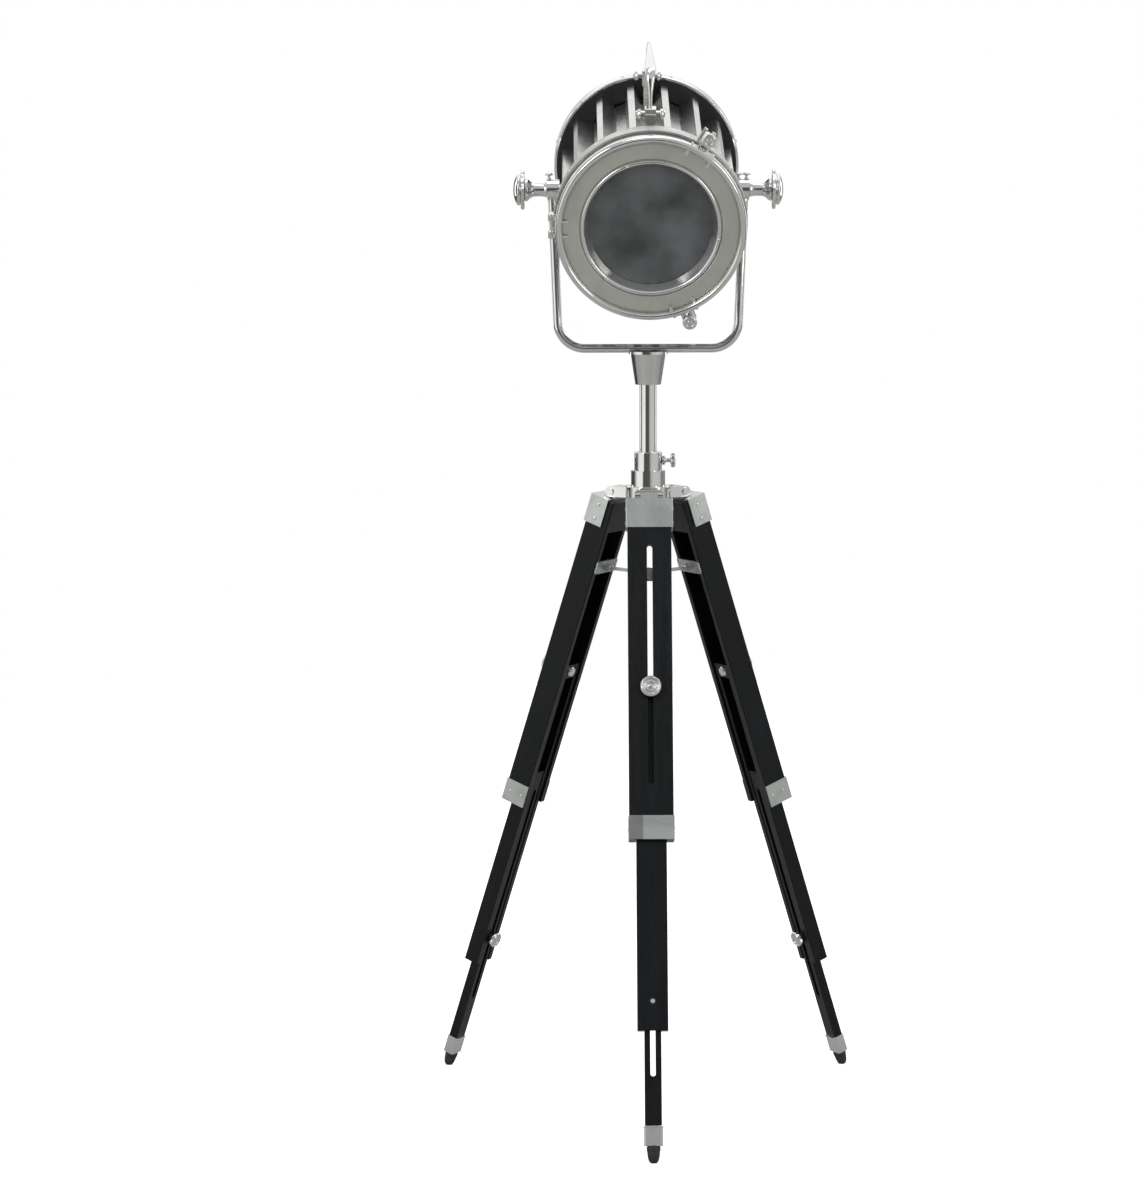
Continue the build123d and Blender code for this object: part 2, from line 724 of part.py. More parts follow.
trunnion_nut_radius = 12.0
trunnion_nut_thickness = 8.0
with BuildPart() as trunnion_shafts:
    for side in (-1, 1):
        boss = Plane(origin=(0, mast_y, trunnion_height), x_dir=(0, 1, 0), z_dir=(side, 0, 0))
        nut_start = drum_valley_radius - drum_sheet - trunnion_nut_thickness
        with BuildSketch(boss.offset(nut_start)):
            Circle(trunnion_radius)
        extrude(amount=trunnion_end - nut_start)
        with BuildSketch(boss.offset(nut_start)):
            RegularPolygon(trunnion_nut_radius, 6)
        extrude(amount=trunnion_nut_thickness)
finish(trunnion_shafts, "trunnion_shafts")

# ---- head ----
def rib_outline(valley, crest):
    """Corners of the corrugated drum: a valley at the top, then a crest, and so on round."""
    corners = []
    for rib in range(rib_count):
        middle = 360 / rib_count * (rib + 0.5)
        for angle, radius in (
            (middle - rib_foot_half_angle, valley),
            (middle - rib_crest_half_angle, crest),
            (middle + rib_crest_half_angle, crest),
            (middle + rib_foot_half_angle, valley),
        ):
            turn = math.radians(90 - angle)
            corners.append((radius * math.cos(turn), radius * math.sin(turn)))
    return corners


with BuildPart() as drum_shell:
    with BuildSketch(head_axis.offset(drum_rear)):
        Polygon(*rib_outline(drum_valley_radius, drum_crest_radius), align=None)
        offset(amount=-drum_sheet, kind=Kind.INTERSECTION, mode=Mode.SUBTRACT)
    extrude(amount=drum_front - drum_rear)
    trunnion_hole = Plane(origin=head_axis.origin, x_dir=(0, 1, 0), z_dir=(1, 0, 0))
    with BuildSketch(trunnion_hole.offset(-drum_crest_radius)):
        Circle(trunnion_radius)
    extrude(amount=2 * drum_crest_radius, mode=Mode.SUBTRACT)
finish(drum_shell, "drum_shell")

head_profile = Plane(
    origin=head_axis.origin, x_dir=head_axis.x_dir, z_dir=-head_axis.y_dir
)
head_turn = Axis(head_axis.origin, head_axis.z_dir)
cover_back = drum_rear - cover_depth
cover_seat_radius = drum_crest_radius - cover_seat_width
gland_radius = 9.0
with BuildPart() as rear_cover:
    with BuildSketch(head_profile):
        with BuildLine():
            lip = Polyline(
                (cover_seat_radius, drum_rear),
                (cover_rim_radius - cover_sheet, drum_rear),
                (cover_rim_radius, drum_rear - 2),
                (cover_rim_radius, cover_back + 3),
                (cover_rim_radius - 3, cover_back),
                (cover_rim_radius - 14, cover_back),
            )
            back = ThreePointArc(lip @ 1, (68, cover_back - 9), (0, cover_back - 12))
            step = Line(back @ 1, (0, cover_back - 12 + cover_sheet))
            inside = ThreePointArc(
                step @ 1,
                (66, cover_back - 9 + cover_sheet),
                (cover_rim_radius - 14, cover_back + cover_sheet),
            )
            Polyline(
                inside @ 1,
                (cover_rim_radius - cover_sheet, cover_back + cover_sheet),
                (cover_rim_radius - cover_sheet, drum_rear - cover_sheet),
                (cover_seat_radius, drum_rear - cover_sheet),
                (cover_seat_radius, drum_rear),
            )
        make_face()
    revolve(axis=head_turn)
    gland_plane = Plane(
        origin=head_axis.from_local_coords((0, -70, 0)),
        x_dir=head_axis.x_dir,
        z_dir=-head_axis.z_dir,
    )
    with BuildSketch(gland_plane.offset(-cover_back)):
        Circle(gland_radius - 2)
    extrude(amount=20, both=True, mode=Mode.SUBTRACT)
finish(rear_cover, "rear_cover")

with BuildPart() as cord_gland:
    with BuildSketch(gland_plane.offset(-cover_back + 10.5)):
        Circle(gland_radius)
    extrude(amount=8)
    with BuildSketch(gland_plane.offset(-cover_back - 6)):
        Circle(gland_radius - 2)
    extrude(amount=20)
    with BuildSketch(gland_plane.offset(-cover_back - 6)):
        Circle(3.5)
    extrude(amount=30, mode=Mode.SUBTRACT)
finish(cord_gland, "cord_gland")



def head_radial_plane(angle, station):
    """Plane facing forward at a station, its local x pointing out at a clock angle."""
    turn = math.radians(90 - angle)
    out = head_axis.x_dir * math.cos(turn) + head_axis.y_dir * math.sin(turn)
    origin = head_axis.from_local_coords((0, 0, station))
    return Plane(origin=origin, x_dir=out, z_dir=head_axis.z_dir)


door_screw_angles = {"upper": upper_screw_angle, "lower": lower_screw_angle}
hinge_line = Plane(
    origin=head_axis.from_local_coords((-door_hinge_radius, 0, door_hinge_station)),
    x_dir=head_axis.x_dir,
    z_dir=head_axis.y_dir,
)
knuckle_radius = 5.0
door_knuckle_half = 8.0
band_knuckle_start = door_knuckle_half + part_gap
band_knuckle_length = 6.0
lug_half_gap = door_screw_shaft_radius + lug_gap
lug_width = 5.0
seat_thickness = 2.0
seat_width = 10.0
seat_front = band_front - gasket_thickness - 0.5


def forked_lug(root_radius):
    """Outline of two ears with a gap for a door screw between them, from a radius outwards."""
    with BuildSketch() as ears:
        for side in (-1, 1):
            with Locations((root_radius, side * (lug_half_gap + lug_width / 2))):
                Rectangle(
                    lug_radius - root_radius, lug_width, align=(Align.MIN, Align.CENTER)
                )
    return ears.sketch


with BuildPart() as front_band:
    with BuildSketch(head_profile):
        Polygon(
            (band_flange_inner_radius, drum_front),
            (band_radius - 1, drum_front),
            (band_radius, drum_front + 1),
            (band_radius, band_front),
            (band_radius - band_wall, band_front),
            (band_radius - band_wall, seat_front),
            (band_radius - band_wall - seat_width, seat_front),
            (band_radius - band_wall - seat_width, seat_front - seat_thickness),
            (band_radius - band_wall, seat_front - seat_thickness),
            (band_radius - band_wall, drum_front + band_wall),
            (band_flange_inner_radius, drum_front + band_wall),
            align=None,
        )
    revolve(axis=head_turn)
    for side in (-1, 1):
        with BuildSketch(hinge_line.offset(side * band_knuckle_start)):
            Circle(knuckle_radius)
            with Locations((-2, 0)):
                Rectangle(
                    door_hinge_radius - band_radius + 4.5,
                    door_hinge_station - drum_front - 9,
                    align=(Align.MIN, Align.MIN),
                )
            Circle(door_hinge_pin_radius, mode=Mode.SUBTRACT)
        extrude(amount=side * band_knuckle_length)
    for angle in door_screw_angles.values():
        with BuildSketch(head_radial_plane(angle, band_lug_start)):
            add(forked_lug(band_radius - 1.5))
        extrude(amount=band_lug_end - band_lug_start)
finish(front_band, "front_band")

with BuildPart() as door_gasket:
    with BuildSketch(head_profile):
        with Locations((band_radius - band_wall, seat_front)):
            Rectangle(seat_width - 1, gasket_thickness, align=(Align.MAX, Align.MIN))
    revolve(axis=head_turn)
finish(door_gasket, "door_gasket")

with BuildPart() as door_hinge_pin:
    pin_half = band_knuckle_start + band_knuckle_length
    with BuildSketch(hinge_line.offset(-pin_half)):
        Circle(door_hinge_pin_radius)
    extrude(amount=2 * pin_half)
    for side in (-1, 1):
        with BuildSketch(hinge_line.offset(side * pin_half)):
            Circle(door_hinge_pin_radius + 1.2)
        extrude(amount=side * 2.0)
finish(door_hinge_pin, "door_hinge_pin")

door_face_front = door_front - door_face_setback
door_face_back = door_face_front - door_sheet
with BuildPart() as door_ring:
    with BuildSketch(head_profile):
        Polygon(
            (door_radius, door_rear),
            (door_radius, door_front - 3),
            (door_radius - 3, door_front),
            (door_radius - door_lip_width, door_front),
            (door_radius - door_lip_width, door_face_front),
            (door_face_inner_radius - 4, door_face_front),
            (bezel_radius, glass_front + 1.5),
            (bezel_radius, glass_front),
            (glass_radius + 1, glass_front),
            (glass_radius + 1, glass_front + 3),
            (door_face_inner_radius + 1, door_face_back),
            (door_radius - door_sheet, door_face_back),
            (door_radius - door_sheet, door_rear),
            align=None,
        )
    revolve(axis=head_turn)
    with BuildSketch(hinge_line.offset(-door_knuckle_half)):
        Circle(knuckle_radius)
        Rectangle(
            door_hinge_radius - door_radius + 1.5, 4, align=(Align.MIN, Align.CENTER)
        )
        Circle(door_hinge_pin_radius + running_fit, mode=Mode.SUBTRACT)
    extrude(amount=2 * door_knuckle_half)
    for angle in door_screw_angles.values():
        face = head_radial_plane(angle, door_lug_start)
        with BuildSketch(face):
            add(forked_lug(door_radius - 2))
        extrude(amount=door_lug_end - door_lug_start)
        with BuildSketch(face):
            with Locations((door_radius - 2, 0)):
                Rectangle(
                    lug_radius - door_radius + 2,
                    2 * (lug_half_gap + lug_width),
                    align=(Align.MIN, Align.CENTER),
                )
            with Locations((door_screw_radius, 0)):
                Circle(door_screw_shaft_radius + running_fit, mode=Mode.SUBTRACT)
        extrude(amount=door_lug_bridge)
finish(door_ring, "door_ring")

with BuildPart() as door_glass:
    with BuildSketch(head_axis.offset(glass_front - glass_thickness)):
        Circle(glass_radius)
    extrude(amount=glass_thickness)
finish(door_glass, "door_glass")

retainer_outer_radius = 110.0
retainer_post_circle = 106.5
retainer_start = glass_front - glass_thickness - retainer_thickness
with BuildPart() as glass_retainer:
    with BuildSketch(head_axis.offset(retainer_start)):
        Circle(retainer_outer_radius)
        Circle(bezel_radius + 2, mode=Mode.SUBTRACT)
    extrude(amount=retainer_thickness)
    with BuildSketch(head_axis.offset(retainer_start + retainer_thickness)):
        with PolarLocations(retainer_post_circle, 4, start_angle=45):
            Circle(3.0)
    extrude(amount=door_face_back - retainer_start - retainer_thickness)
finish(glass_retainer, "glass_retainer")

head_end = door_screw_head_start + door_screw_head_height
for name, angle in door_screw_angles.items():
    screw_plane = head_radial_plane(angle, 0)
    screw_centre = screw_plane.from_local_coords((door_screw_radius, 0, 0))
    screw_profile = Plane(
        origin=screw_centre, x_dir=screw_plane.x_dir, z_dir=-screw_plane.y_dir
    )
    with BuildPart() as door_screw:
        with BuildSketch(screw_profile):
            Polygon(
                (0, door_screw_end),
                (door_screw_shaft_radius, door_screw_end),
                (door_screw_shaft_radius, door_screw_head_start - 1),
                (door_screw_head_radius - 4, door_screw_head_start - 1),
                (door_screw_head_radius - 4, door_screw_head_start),
                (door_screw_head_radius - 1, door_screw_head_start),
                (door_screw_head_radius, door_screw_head_start + 1),
                (door_screw_head_radius, head_end - 1),
                (door_screw_head_radius - 1, head_end),
                (0, head_end),
                align=None,
            )
        revolve(axis=Axis(screw_centre, screw_plane.z_dir))
    finish(door_screw, "door_screw_" + name)

# ---- carrying handle ----
side_view = Plane(
    origin=head_axis.origin, x_dir=head_axis.z_dir, z_dir=-head_axis.x_dir
)
valley_angle = math.radians(360 / rib_count / 2 - rib_foot_half_angle)
valley_floor = drum_valley_radius * math.cos(valley_angle)
with BuildPart() as handle_brackets:
    for station in (handle_front_station, handle_rear_station):
        with BuildSketch(side_view.offset(-6)):
            with Locations((station, valley_floor)):
                Rectangle(bracket_length, 34, align=(Align.CENTER, Align.MIN))
        extrude(amount=12)
        with BuildSketch(side_view.offset(-8)):
            with Locations((station, handle_foot_height)):
                RectangleRounded(bracket_length, 24, 3, align=(Align.CENTER, Align.MAX))
        extrude(amount=16)
        with BuildSketch(side_view.offset(-21)):
            with Locations((station, handle_foot_height - 10)):
                Circle(5.0)
        extrude(amount=42)
finish(handle_brackets, "handle_brackets")

with BuildPart() as handle:
    with BuildSketch(side_view.offset(-handle_widest)) as arch:
        front_foot = handle_front_station + 5
        rear_foot = handle_rear_station - 5
        Polygon(
            (front_foot, handle_foot_height - 30),
            (front_foot - 12, handle_top - 17),
            (-25, handle_top),
            (rear_foot + 20, handle_top - 22),
            (rear_foot, handle_foot_height - 30),
            align=None,
        )
        fillet(arch.vertices().group_by(Axis(side_view.origin, side_view.y_dir))[1:], radius=24)
        offset(amount=-handle_thickness, mode=Mode.SUBTRACT)
        with Locations((0, handle_foot_height)):
            Rectangle(400, 80, align=(Align.CENTER, Align.MAX), mode=Mode.SUBTRACT)
    extrude(amount=2 * handle_widest)
    top_view = Plane(
        origin=head_axis.origin, x_dir=head_axis.z_dir, z_dir=head_axis.y_dir
    )
    with BuildSketch(top_view.offset(handle_foot_height - 1)):
        with BuildLine():
            grip_side = Spline(
                (front_foot + 4, 2.3),
                (front_foot - 8, 2.9),
                (front_foot - 14, 6.6),
                (79, handle_widest / 2),
                (49, 6.6),
                (19, 4.5),
                (-25, 2.3),
                (rear_foot - 4, 2.3),
            )
            mirror(about=Plane.XZ)
            Line(grip_side @ 0, (front_foot + 4, -2.3))
            Line(grip_side @ 1, (rear_foot - 4, -2.3))
        make_face()
    extrude(amount=handle_top, mode=Mode.INTERSECT)
finish(handle, "handle")

# ---- lamp holder and bulb ----
strap_front = drum_rear - cover_sheet
strap_half_length = cover_rim_radius - cover_sheet - 5
with BuildPart() as lamp_holder:
    with BuildSketch(head_axis.offset(strap_front)):
        Rectangle(2 * strap_half_length, 26)
    extrude(amount=-3.0)
    with BuildSketch(head_axis.offset(strap_front)):
        Circle(holder_radius)
    extrude(amount=holder_front - strap_front)
    with BuildSketch(head_axis.offset(holder_front)):
        Circle(13.5)
    extrude(amount=-20, mode=Mode.SUBTRACT)
finish(lamp_holder, "lamp_holder")

bulb_centre = holder_front + 45.0
bulb_cap_radius = 13.2
bulb_cap_end = holder_front - 20.0
with BuildPart() as bulb:
    with BuildSketch(head_profile):
        with BuildLine():
            cap_side = Polyline(
                (0, bulb_cap_end),
                (bulb_cap_radius, bulb_cap_end),
                (bulb_cap_radius, holder_front + 6),
            )
            neck = Spline(
                cap_side @ 1,
                (24, bulb_centre - 18),
                (bulb_radius, bulb_centre),
                tangents=[(0, 1), (0, 1)],
            )
            crown = CenterArc((0, bulb_centre), bulb_radius, 0, 90)
            Line((0, bulb_centre + bulb_radius), cap_side @ 0)
        make_face()
    revolve(axis=head_turn)
finish(bulb, "bulb")

print("mast y", mast_y, "tip station", tip_station, "foot circle", foot_circle_radius)
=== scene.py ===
"""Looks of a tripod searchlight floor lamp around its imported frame, laid out as an add-on."""

import json
import math

import bmesh
import bpy
import numpy as np
from bpy.props import FloatProperty, FloatVectorProperty, IntProperty, PointerProperty
from mathutils import Matrix, Vector


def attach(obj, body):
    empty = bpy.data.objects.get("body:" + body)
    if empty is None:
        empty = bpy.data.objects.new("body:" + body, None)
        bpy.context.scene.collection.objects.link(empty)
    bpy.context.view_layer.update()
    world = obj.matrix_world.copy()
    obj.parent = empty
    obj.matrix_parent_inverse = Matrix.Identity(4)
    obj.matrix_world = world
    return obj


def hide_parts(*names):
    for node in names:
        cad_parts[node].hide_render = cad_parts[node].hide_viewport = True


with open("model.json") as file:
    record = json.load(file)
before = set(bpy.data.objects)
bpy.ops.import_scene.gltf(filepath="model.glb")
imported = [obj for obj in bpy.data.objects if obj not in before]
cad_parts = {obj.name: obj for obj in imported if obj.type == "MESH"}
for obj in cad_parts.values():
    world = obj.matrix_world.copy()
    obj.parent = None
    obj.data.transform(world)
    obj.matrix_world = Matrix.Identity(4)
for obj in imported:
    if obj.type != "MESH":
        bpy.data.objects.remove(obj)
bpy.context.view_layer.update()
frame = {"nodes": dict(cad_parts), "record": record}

bl_info = {
    "name": "Searchlight Floor Lamp",
    "version": (1, 0, 0),
    "blender": (4, 5, 0),
    "location": "View3D > Sidebar > Lamp",
    "description": "Finishes and small parts of a tripod searchlight floor lamp",
    "category": "Object",
}

MM = 0.001
# degrees round the lamp from the viewer's side, + to the right, and brightness
STUDIO_WALLS = (
    (-180, 0.75), (-160, 0.6), (-150, 0.06), (-108, 0.06), (-96, 0.4), (-78, 1.0), (-42, 1.0),
    (-32, 0.08), (8, 0.1), (18, 0.45), (34, 0.6), (84, 0.6), (100, 0.25), (146, 0.25),
    (162, 0.6), (180, 0.75),
)
# name, place in metres, size in metres, watts
SOFT_BOXES = (
    ("Key", (-2.6, -2.6, 2.9), 1.5, 26.0),
    ("Fill", (2.9, -1.9, 1.9), 1.2, 12.0),
    ("Top", (0.3, 0.4, 4.2), 2.4, 22.0),
    ("Rim left", (-2.6, 2.0, 1.8), 1.5, 10.0),
    ("Rim right", (2.6, 2.0, 1.8), 1.5, 10.0),
)
LEGS = ("front", "left", "right")
# finish of each material slot; the legs' black_wood has one finish per leg
SLOT_FINISH = {
    "chrome": "Chrome", "satin_nickel": "Satin Nickel", "rubber": "Foot Rubber",
    "smoked_glass": "Smoked Glass", "bulb_glass": "Bulb Glass",
    "holder_plastic": "Holder Plastic",
}
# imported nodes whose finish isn't their slot's own
NODE_FINISH = {"door_ring": "Door Satin", "drum_shell": "Drum Plating"}
# sizes in millimetres, angles in degrees; the knobs' growth is a factor
FERRULE_SHEET = 1.6
LOWER_KNOB_GROWTH = 1.18
CAP_SCREW_STATIONS = (31, 9)  # above the cap's lower edge
STRAP_NAIL_DEPTHS = (-11.0, 9.0)
LAP_EDGE = -12.4
LAP_LIFT = 1.0
COLLAR_FACE = 20.8  # out from the mast's axis
LOCK_SCREW_PLACES = (134.5, 146.5, -147.5)  # to the right of the drum's middle
BAND_RADIUS, BAND_MIDDLE, FIRST_BAND_RIVET = 140.0, 153.5, -12.0
BEZEL_SCREW_ANGLES = (-20.0, 100.0, 220.0)
LATCH_ANGLES = (32.0, 158.0)
DOOR_FACE = 184.2  # ahead of the trunnion
DOOR_DEPTH = 25.2
REAR_RIVETS, FIRST_REAR_RIVET = 12, 15.0
HANDLE_SIDES, HANDLE_STATIONS = 32, 120
FLOOR_RADIUS = 4300
JOINTS = {joint["name"]: joint for joint in frame["record"]["behaviour"]["joints"]}


# ---- places, read from the frame ----
def unit(vector):
    """The vector at length one."""
    vector = np.asarray(vector, dtype=float)
    return vector / np.linalg.norm(vector)


class Place:
    """An origin with three square directions: across, up and along."""

    def __init__(self, origin, across, along):
        self.origin = np.asarray(origin, dtype=float)
        self.along = unit(along)
        self.across = unit(np.asarray(across) - np.dot(across, self.along) * self.along)
        self.up = np.cross(self.along, self.across)

    def point(self, x, y, z):
        """Millimetres in this place to metres in the row's frame, for numbers or arrays."""
        x, y, z = (np.asarray(v, dtype=float)[..., None] for v in (x, y, z))
        return self.origin + MM * (x * self.across + y * self.up + z * self.along)

    def at(self, x, y, z, across=None, along=None):
        """Another place whose origin is a point of this one, turned to the given directions."""
        across = self.across if across is None else across
        along = self.along if along is None else along
        return Place(self.point(x, y, z), across, along)


def leg_place(side):
    """A leg's hinge pin: across it, outwards, and down along it."""
    fold = JOINTS[f"leg_{side}_fold"]
    slide = JOINTS[f"leg_{side}_middle_slide"]
    return Place(fold["pos_m"], fold["axis"], slide["axis"])


def head_place():
    """The head's trunnion: to the right, the head's own up, and forward out of its face."""
    forward = JOINTS["door_screw_upper_turn"]["axis"]
    return Place(JOINTS["head_tilt"]["pos_m"], (1, 0, 0), forward)


def clock(place, angle, radius, station):
    """Place on a head's face at a clock angle in degrees, whose across points outwards."""
    turn = math.radians(90 - angle)
    out = place.across * math.cos(turn) + place.up * math.sin(turn)
    x, y = radius * math.cos(turn), radius * math.sin(turn)
    return place.at(x, y, station, across=out)


def mast_place():
    """The mast's axis at floor level."""
    x, y, _ = JOINTS["head_pan"]["pos_m"]
    return Place((x, y, 0), (1, 0, 0), (0, 0, 1))


# ---- mesh work ----
def new_object(name, data):
    """An object with the given data, in the scene."""
    item = bpy.data.objects.new(name, data)
    bpy.context.scene.collection.objects.link(item)
    return item


def finish_of(name):
    """A material that the finishes operator has made."""
    material = bpy.data.materials.get(name)
    if material is None:
        raise RuntimeError(f"material {name} isn't made yet")
    return material


def mesh_piece(name, points, faces, body, smooth_angle, finish="Chrome"):
    """A mesh object from arrays, merged and turned outwards, riding on a body."""
    mesh = bpy.data.meshes.new(name)
    mesh.from_pydata(points.tolist(), [], faces.tolist())
    shell = bmesh.new()
    shell.from_mesh(mesh)
    bmesh.ops.remove_doubles(shell, verts=shell.verts, dist=1e-6)
    bmesh.ops.dissolve_degenerate(shell, edges=shell.edges, dist=1e-7)
    bmesh.ops.recalc_face_normals(shell, faces=shell.faces)
    shell.to_mesh(mesh)
    shell.free()
    piece = new_object(name, mesh)
    mesh.shade_smooth()
    mesh.set_sharp_from_angle(angle=math.radians(smooth_angle))
    mesh.materials.append(finish_of(finish))
    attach(piece, body)
    return piece


def grid_faces(rows, columns):
    """Quads between neighbouring rows and columns of a grid whose rows close on themselves."""
    row, column = np.meshgrid(np.arange(rows - 1), np.arange(columns), indexing="ij")
    following = (column + 1) % columns
    corners = (
        row * columns + column, row * columns + following,
        (row + 1) * columns + following, (row + 1) * columns + column,
    )
    return np.stack(corners, axis=-1).reshape(-1, 4)


def joined(shapes):
    """Several (points, faces) shapes as one."""
    points, faces, count = [], [], 0
    for shape_points, shape_faces in shapes:
        points.append(shape_points)
        faces.append(shape_faces + count)
        count += len(shape_points)
    return np.concatenate(points), np.concatenate(faces)


def lathe(place, profile, segments=64, ripple=None):
    """Surface of revolution: radius and height along a profile, turned about the place's axis.

    ripple(angle, radius, height) may return a change of radius in millimetres.
    """
    profile = np.asarray(profile, dtype=float)
    angle = np.linspace(0, 2 * math.pi, segments, endpoint=False)
    radius = np.repeat(profile[:, :1], segments, axis=1)
    height = np.repeat(profile[:, 1:2], segments, axis=1)
    turn = np.repeat(angle[None, :], len(profile), axis=0)
    if ripple is not None:
        radius = radius + ripple(turn, radius, height)
    points = place.point(radius * np.cos(turn), radius * np.sin(turn), height)
    return points.reshape(-1, 3), grid_faces(len(profile), segments)


def rounded(corners, radii, steps=6):
    """A profile through corners, each rounded by a curve that starts a radius away."""
    corners = [np.asarray(corner, dtype=float) for corner in corners]
    line = [corners[0]]
    for index in range(1, len(corners) - 1):
        before, corner, after = corners[index - 1 : index + 2]
        reach = min(
            radii[index] if hasattr(radii, "__len__") else radii,
            0.49 * np.linalg.norm(corner - before),
            0.49 * np.linalg.norm(after - corner),
        )
        if reach <= 0:
            line.append(corner)
            continue
        start = corner + unit(before - corner) * reach
        end = corner + unit(after - corner) * reach
        for t in np.linspace(0, 1, steps):
            line.append((1 - t) ** 2 * start + 2 * t * (1 - t) * corner + t**2 * end)
    line.append(corners[-1])
    return np.array(line)


def round_box_outline(width, height, corner, steps):
    """Outline of a rounded rectangle: four quarter circles joined by straight sides."""
    quarter = np.linspace(0, math.pi / 2, steps)
    x, y = [], []
    for index, (side_x, side_y) in enumerate(((1, 1), (-1, 1), (-1, -1), (1, -1))):
        angle = quarter + index * math.pi / 2
        x.append(side_x * (width / 2 - corner) + corner * np.cos(angle))
        y.append(side_y * (height / 2 - corner) + corner * np.sin(angle))
    return np.concatenate(x), np.concatenate(y)


def closed(loops, first, last):
    """Loops of equal length as one skin, drawn in to a point at each end."""
    count = len(loops[0])
    ends = [np.repeat(point[None, :], count, axis=0) for point in (first, last)]
    skin = [ends[0], *loops, ends[1]]
    return np.concatenate(skin), grid_faces(len(skin), count)


def stacked(place, width, height, rows, steps):
    """Rounded rectangles on one another; a row is its growth, corner radius and height."""
    loops = []
    for grow, corner, lift in rows:
        x, y = round_box_outline(width + 2 * grow, height + 2 * grow, corner, steps)
        loops.append(place.point(x, y, np.full_like(x, lift)))
    return closed(loops, place.point(0, 0, rows[0][2]), place.point(0, 0, rows[-1][2]))


def bar_shape(place, length, width, height, corner):
    """A bar with a flat seat and a rounded top edge."""
    bend = max(corner, 0.3)
    rows = (
        (0, bend, 0), (0, bend, height - corner), (-0.3 * corner, bend, height - 0.3 * corner),
        (-corner, bend, height),
    )
    return stacked(place, length, width, rows, 6)


def rivet_ring(head, count, first, radius, station, profile):
    """Rivets round the head, the first of them at a clock angle."""
    rivets = []
    for angle in np.arange(count) * 360.0 / count + first:
        edge = clock(head, angle, radius, station)
        rivets.append(lathe(Place(edge.origin, edge.along, edge.across), profile, 20))
    return joined(rivets)


def slotted_screw(place, radius, height):
    """A domed screw head: a flattened dome over a disc, pressed in along a driver slot."""
    ring = np.linspace(0, 1, 9)[:, None]
    turn = np.linspace(0, 2 * math.pi, 36, endpoint=False)[None, :]
    x = radius * ring * np.cos(turn)
    y = radius * ring * np.sin(turn)
    dome = height * np.sqrt(np.clip(1 - 0.92 * ring**2, 0, 1)) * np.ones_like(turn)
    slot_depth = 0.45 * height / (1 + (x / (0.16 * radius)) ** 6)
    top = np.where(ring < 0.98, dome - slot_depth, dome)
    rows_x = np.concatenate((x, x[-1:], 0 * x[-1:]))
    rows_y = np.concatenate((y, y[-1:], 0 * y[-1:]))
    base = -0.2 + 0 * x[-1:]
    rows_z = np.concatenate((top, base, base))
    points = place.point(rows_x, rows_y, rows_z).reshape(-1, 3)
    return points, grid_faces(len(rows_x), turn.shape[1])


# ---- node groups ----
def new_group(name, numbers, colors):
    """A node group with a vector, numbers and colours in, and a surface's outputs."""
    group = bpy.data.node_groups.new(name, "ShaderNodeTree")
    sockets = [("Vector", "Vector", "INPUT")]
    sockets += [(label, "Float", "INPUT") for label in numbers]
    sockets += [(label, "Color", "INPUT") for label in colors]
    sockets += [("Color", "Color", "OUTPUT"), ("Roughness", "Float", "OUTPUT")]
    for label, kind, way in (*sockets, ("Normal", "Vector", "OUTPUT")):
        group.interface.new_socket(label, in_out=way, socket_type="NodeSocket" + kind)
    return group, group.nodes.new("NodeGroupInput").outputs


def close_group(group, *values):
    """Link a surface's colour, roughness and normal to the group's outputs."""
    leave = group.nodes.new("NodeGroupOutput")
    for socket, value in zip(leave.inputs, values):
        group.links.new(value, socket)
    return group


def feed(tree, socket, value):
    """Set a socket to a number, or link another socket to it."""
    if isinstance(value, (int, float)):
        socket.default_value = value
    else:
        tree.links.new(value, socket)


def add_noise(tree, vector, scale, detail=4.0, roughness=0.55, distortion=0.0):
    """A noise texture reading a vector."""
    noise = tree.nodes.new("ShaderNodeTexNoise")
    noise.inputs["Detail"].default_value = detail
    noise.inputs["Roughness"].default_value = roughness
    noise.inputs["Distortion"].default_value = distortion
    tree.links.new(vector, noise.inputs["Vector"])
    noise.inputs["Scale"].default_value = scale
    return noise.outputs["Fac"]


def add_range(tree, value, low_in, high_in, low_out, high_out):
    """A map range of a value."""
    node = tree.nodes.new("ShaderNodeMapRange")
    tree.links.new(value, node.inputs["Value"])
    labels = ("From Min", "From Max", "To Min", "To Max")
    for label, limit in zip(labels, (low_in, high_in, low_out, high_out)):
        node.inputs[label].default_value = limit
    return node.outputs["Result"]


def add_math(tree, operation, first, second):
    """A math node on two numbers or sockets."""
    node = tree.nodes.new("ShaderNodeMath")
    node.operation = operation
    for socket, value in zip(node.inputs, (first, second)):
        feed(tree, socket, value)
    return node.outputs[0]


def add_mix(tree, factor, first, second):
    """A colour mix of two colours or sockets."""
    node = tree.nodes.new("ShaderNodeMix")
    node.data_type = "RGBA"
    tree.links.new(factor, node.inputs["Factor"])
    for label, value in (("A", first), ("B", second)):
        socket = next(s for s in node.inputs if s.name == label and s.type == "RGBA")
        if isinstance(value, bpy.types.NodeSocket):
            tree.links.new(value, socket)
        else:
            socket.default_value = (*value[:3], 1.0)
    return next(s for s in node.outputs if s.type == "RGBA")


def add_bump(tree, height, strength, distance):
    """A bump node on a height; strength is a number or a socket."""
    bump = tree.nodes.new("ShaderNodeBump")
    bump.inputs["Distance"].default_value = distance
    tree.links.new(height, bump.inputs["Height"])
    feed(tree, bump.inputs["Strength"], strength)
    return bump.outputs["Normal"]


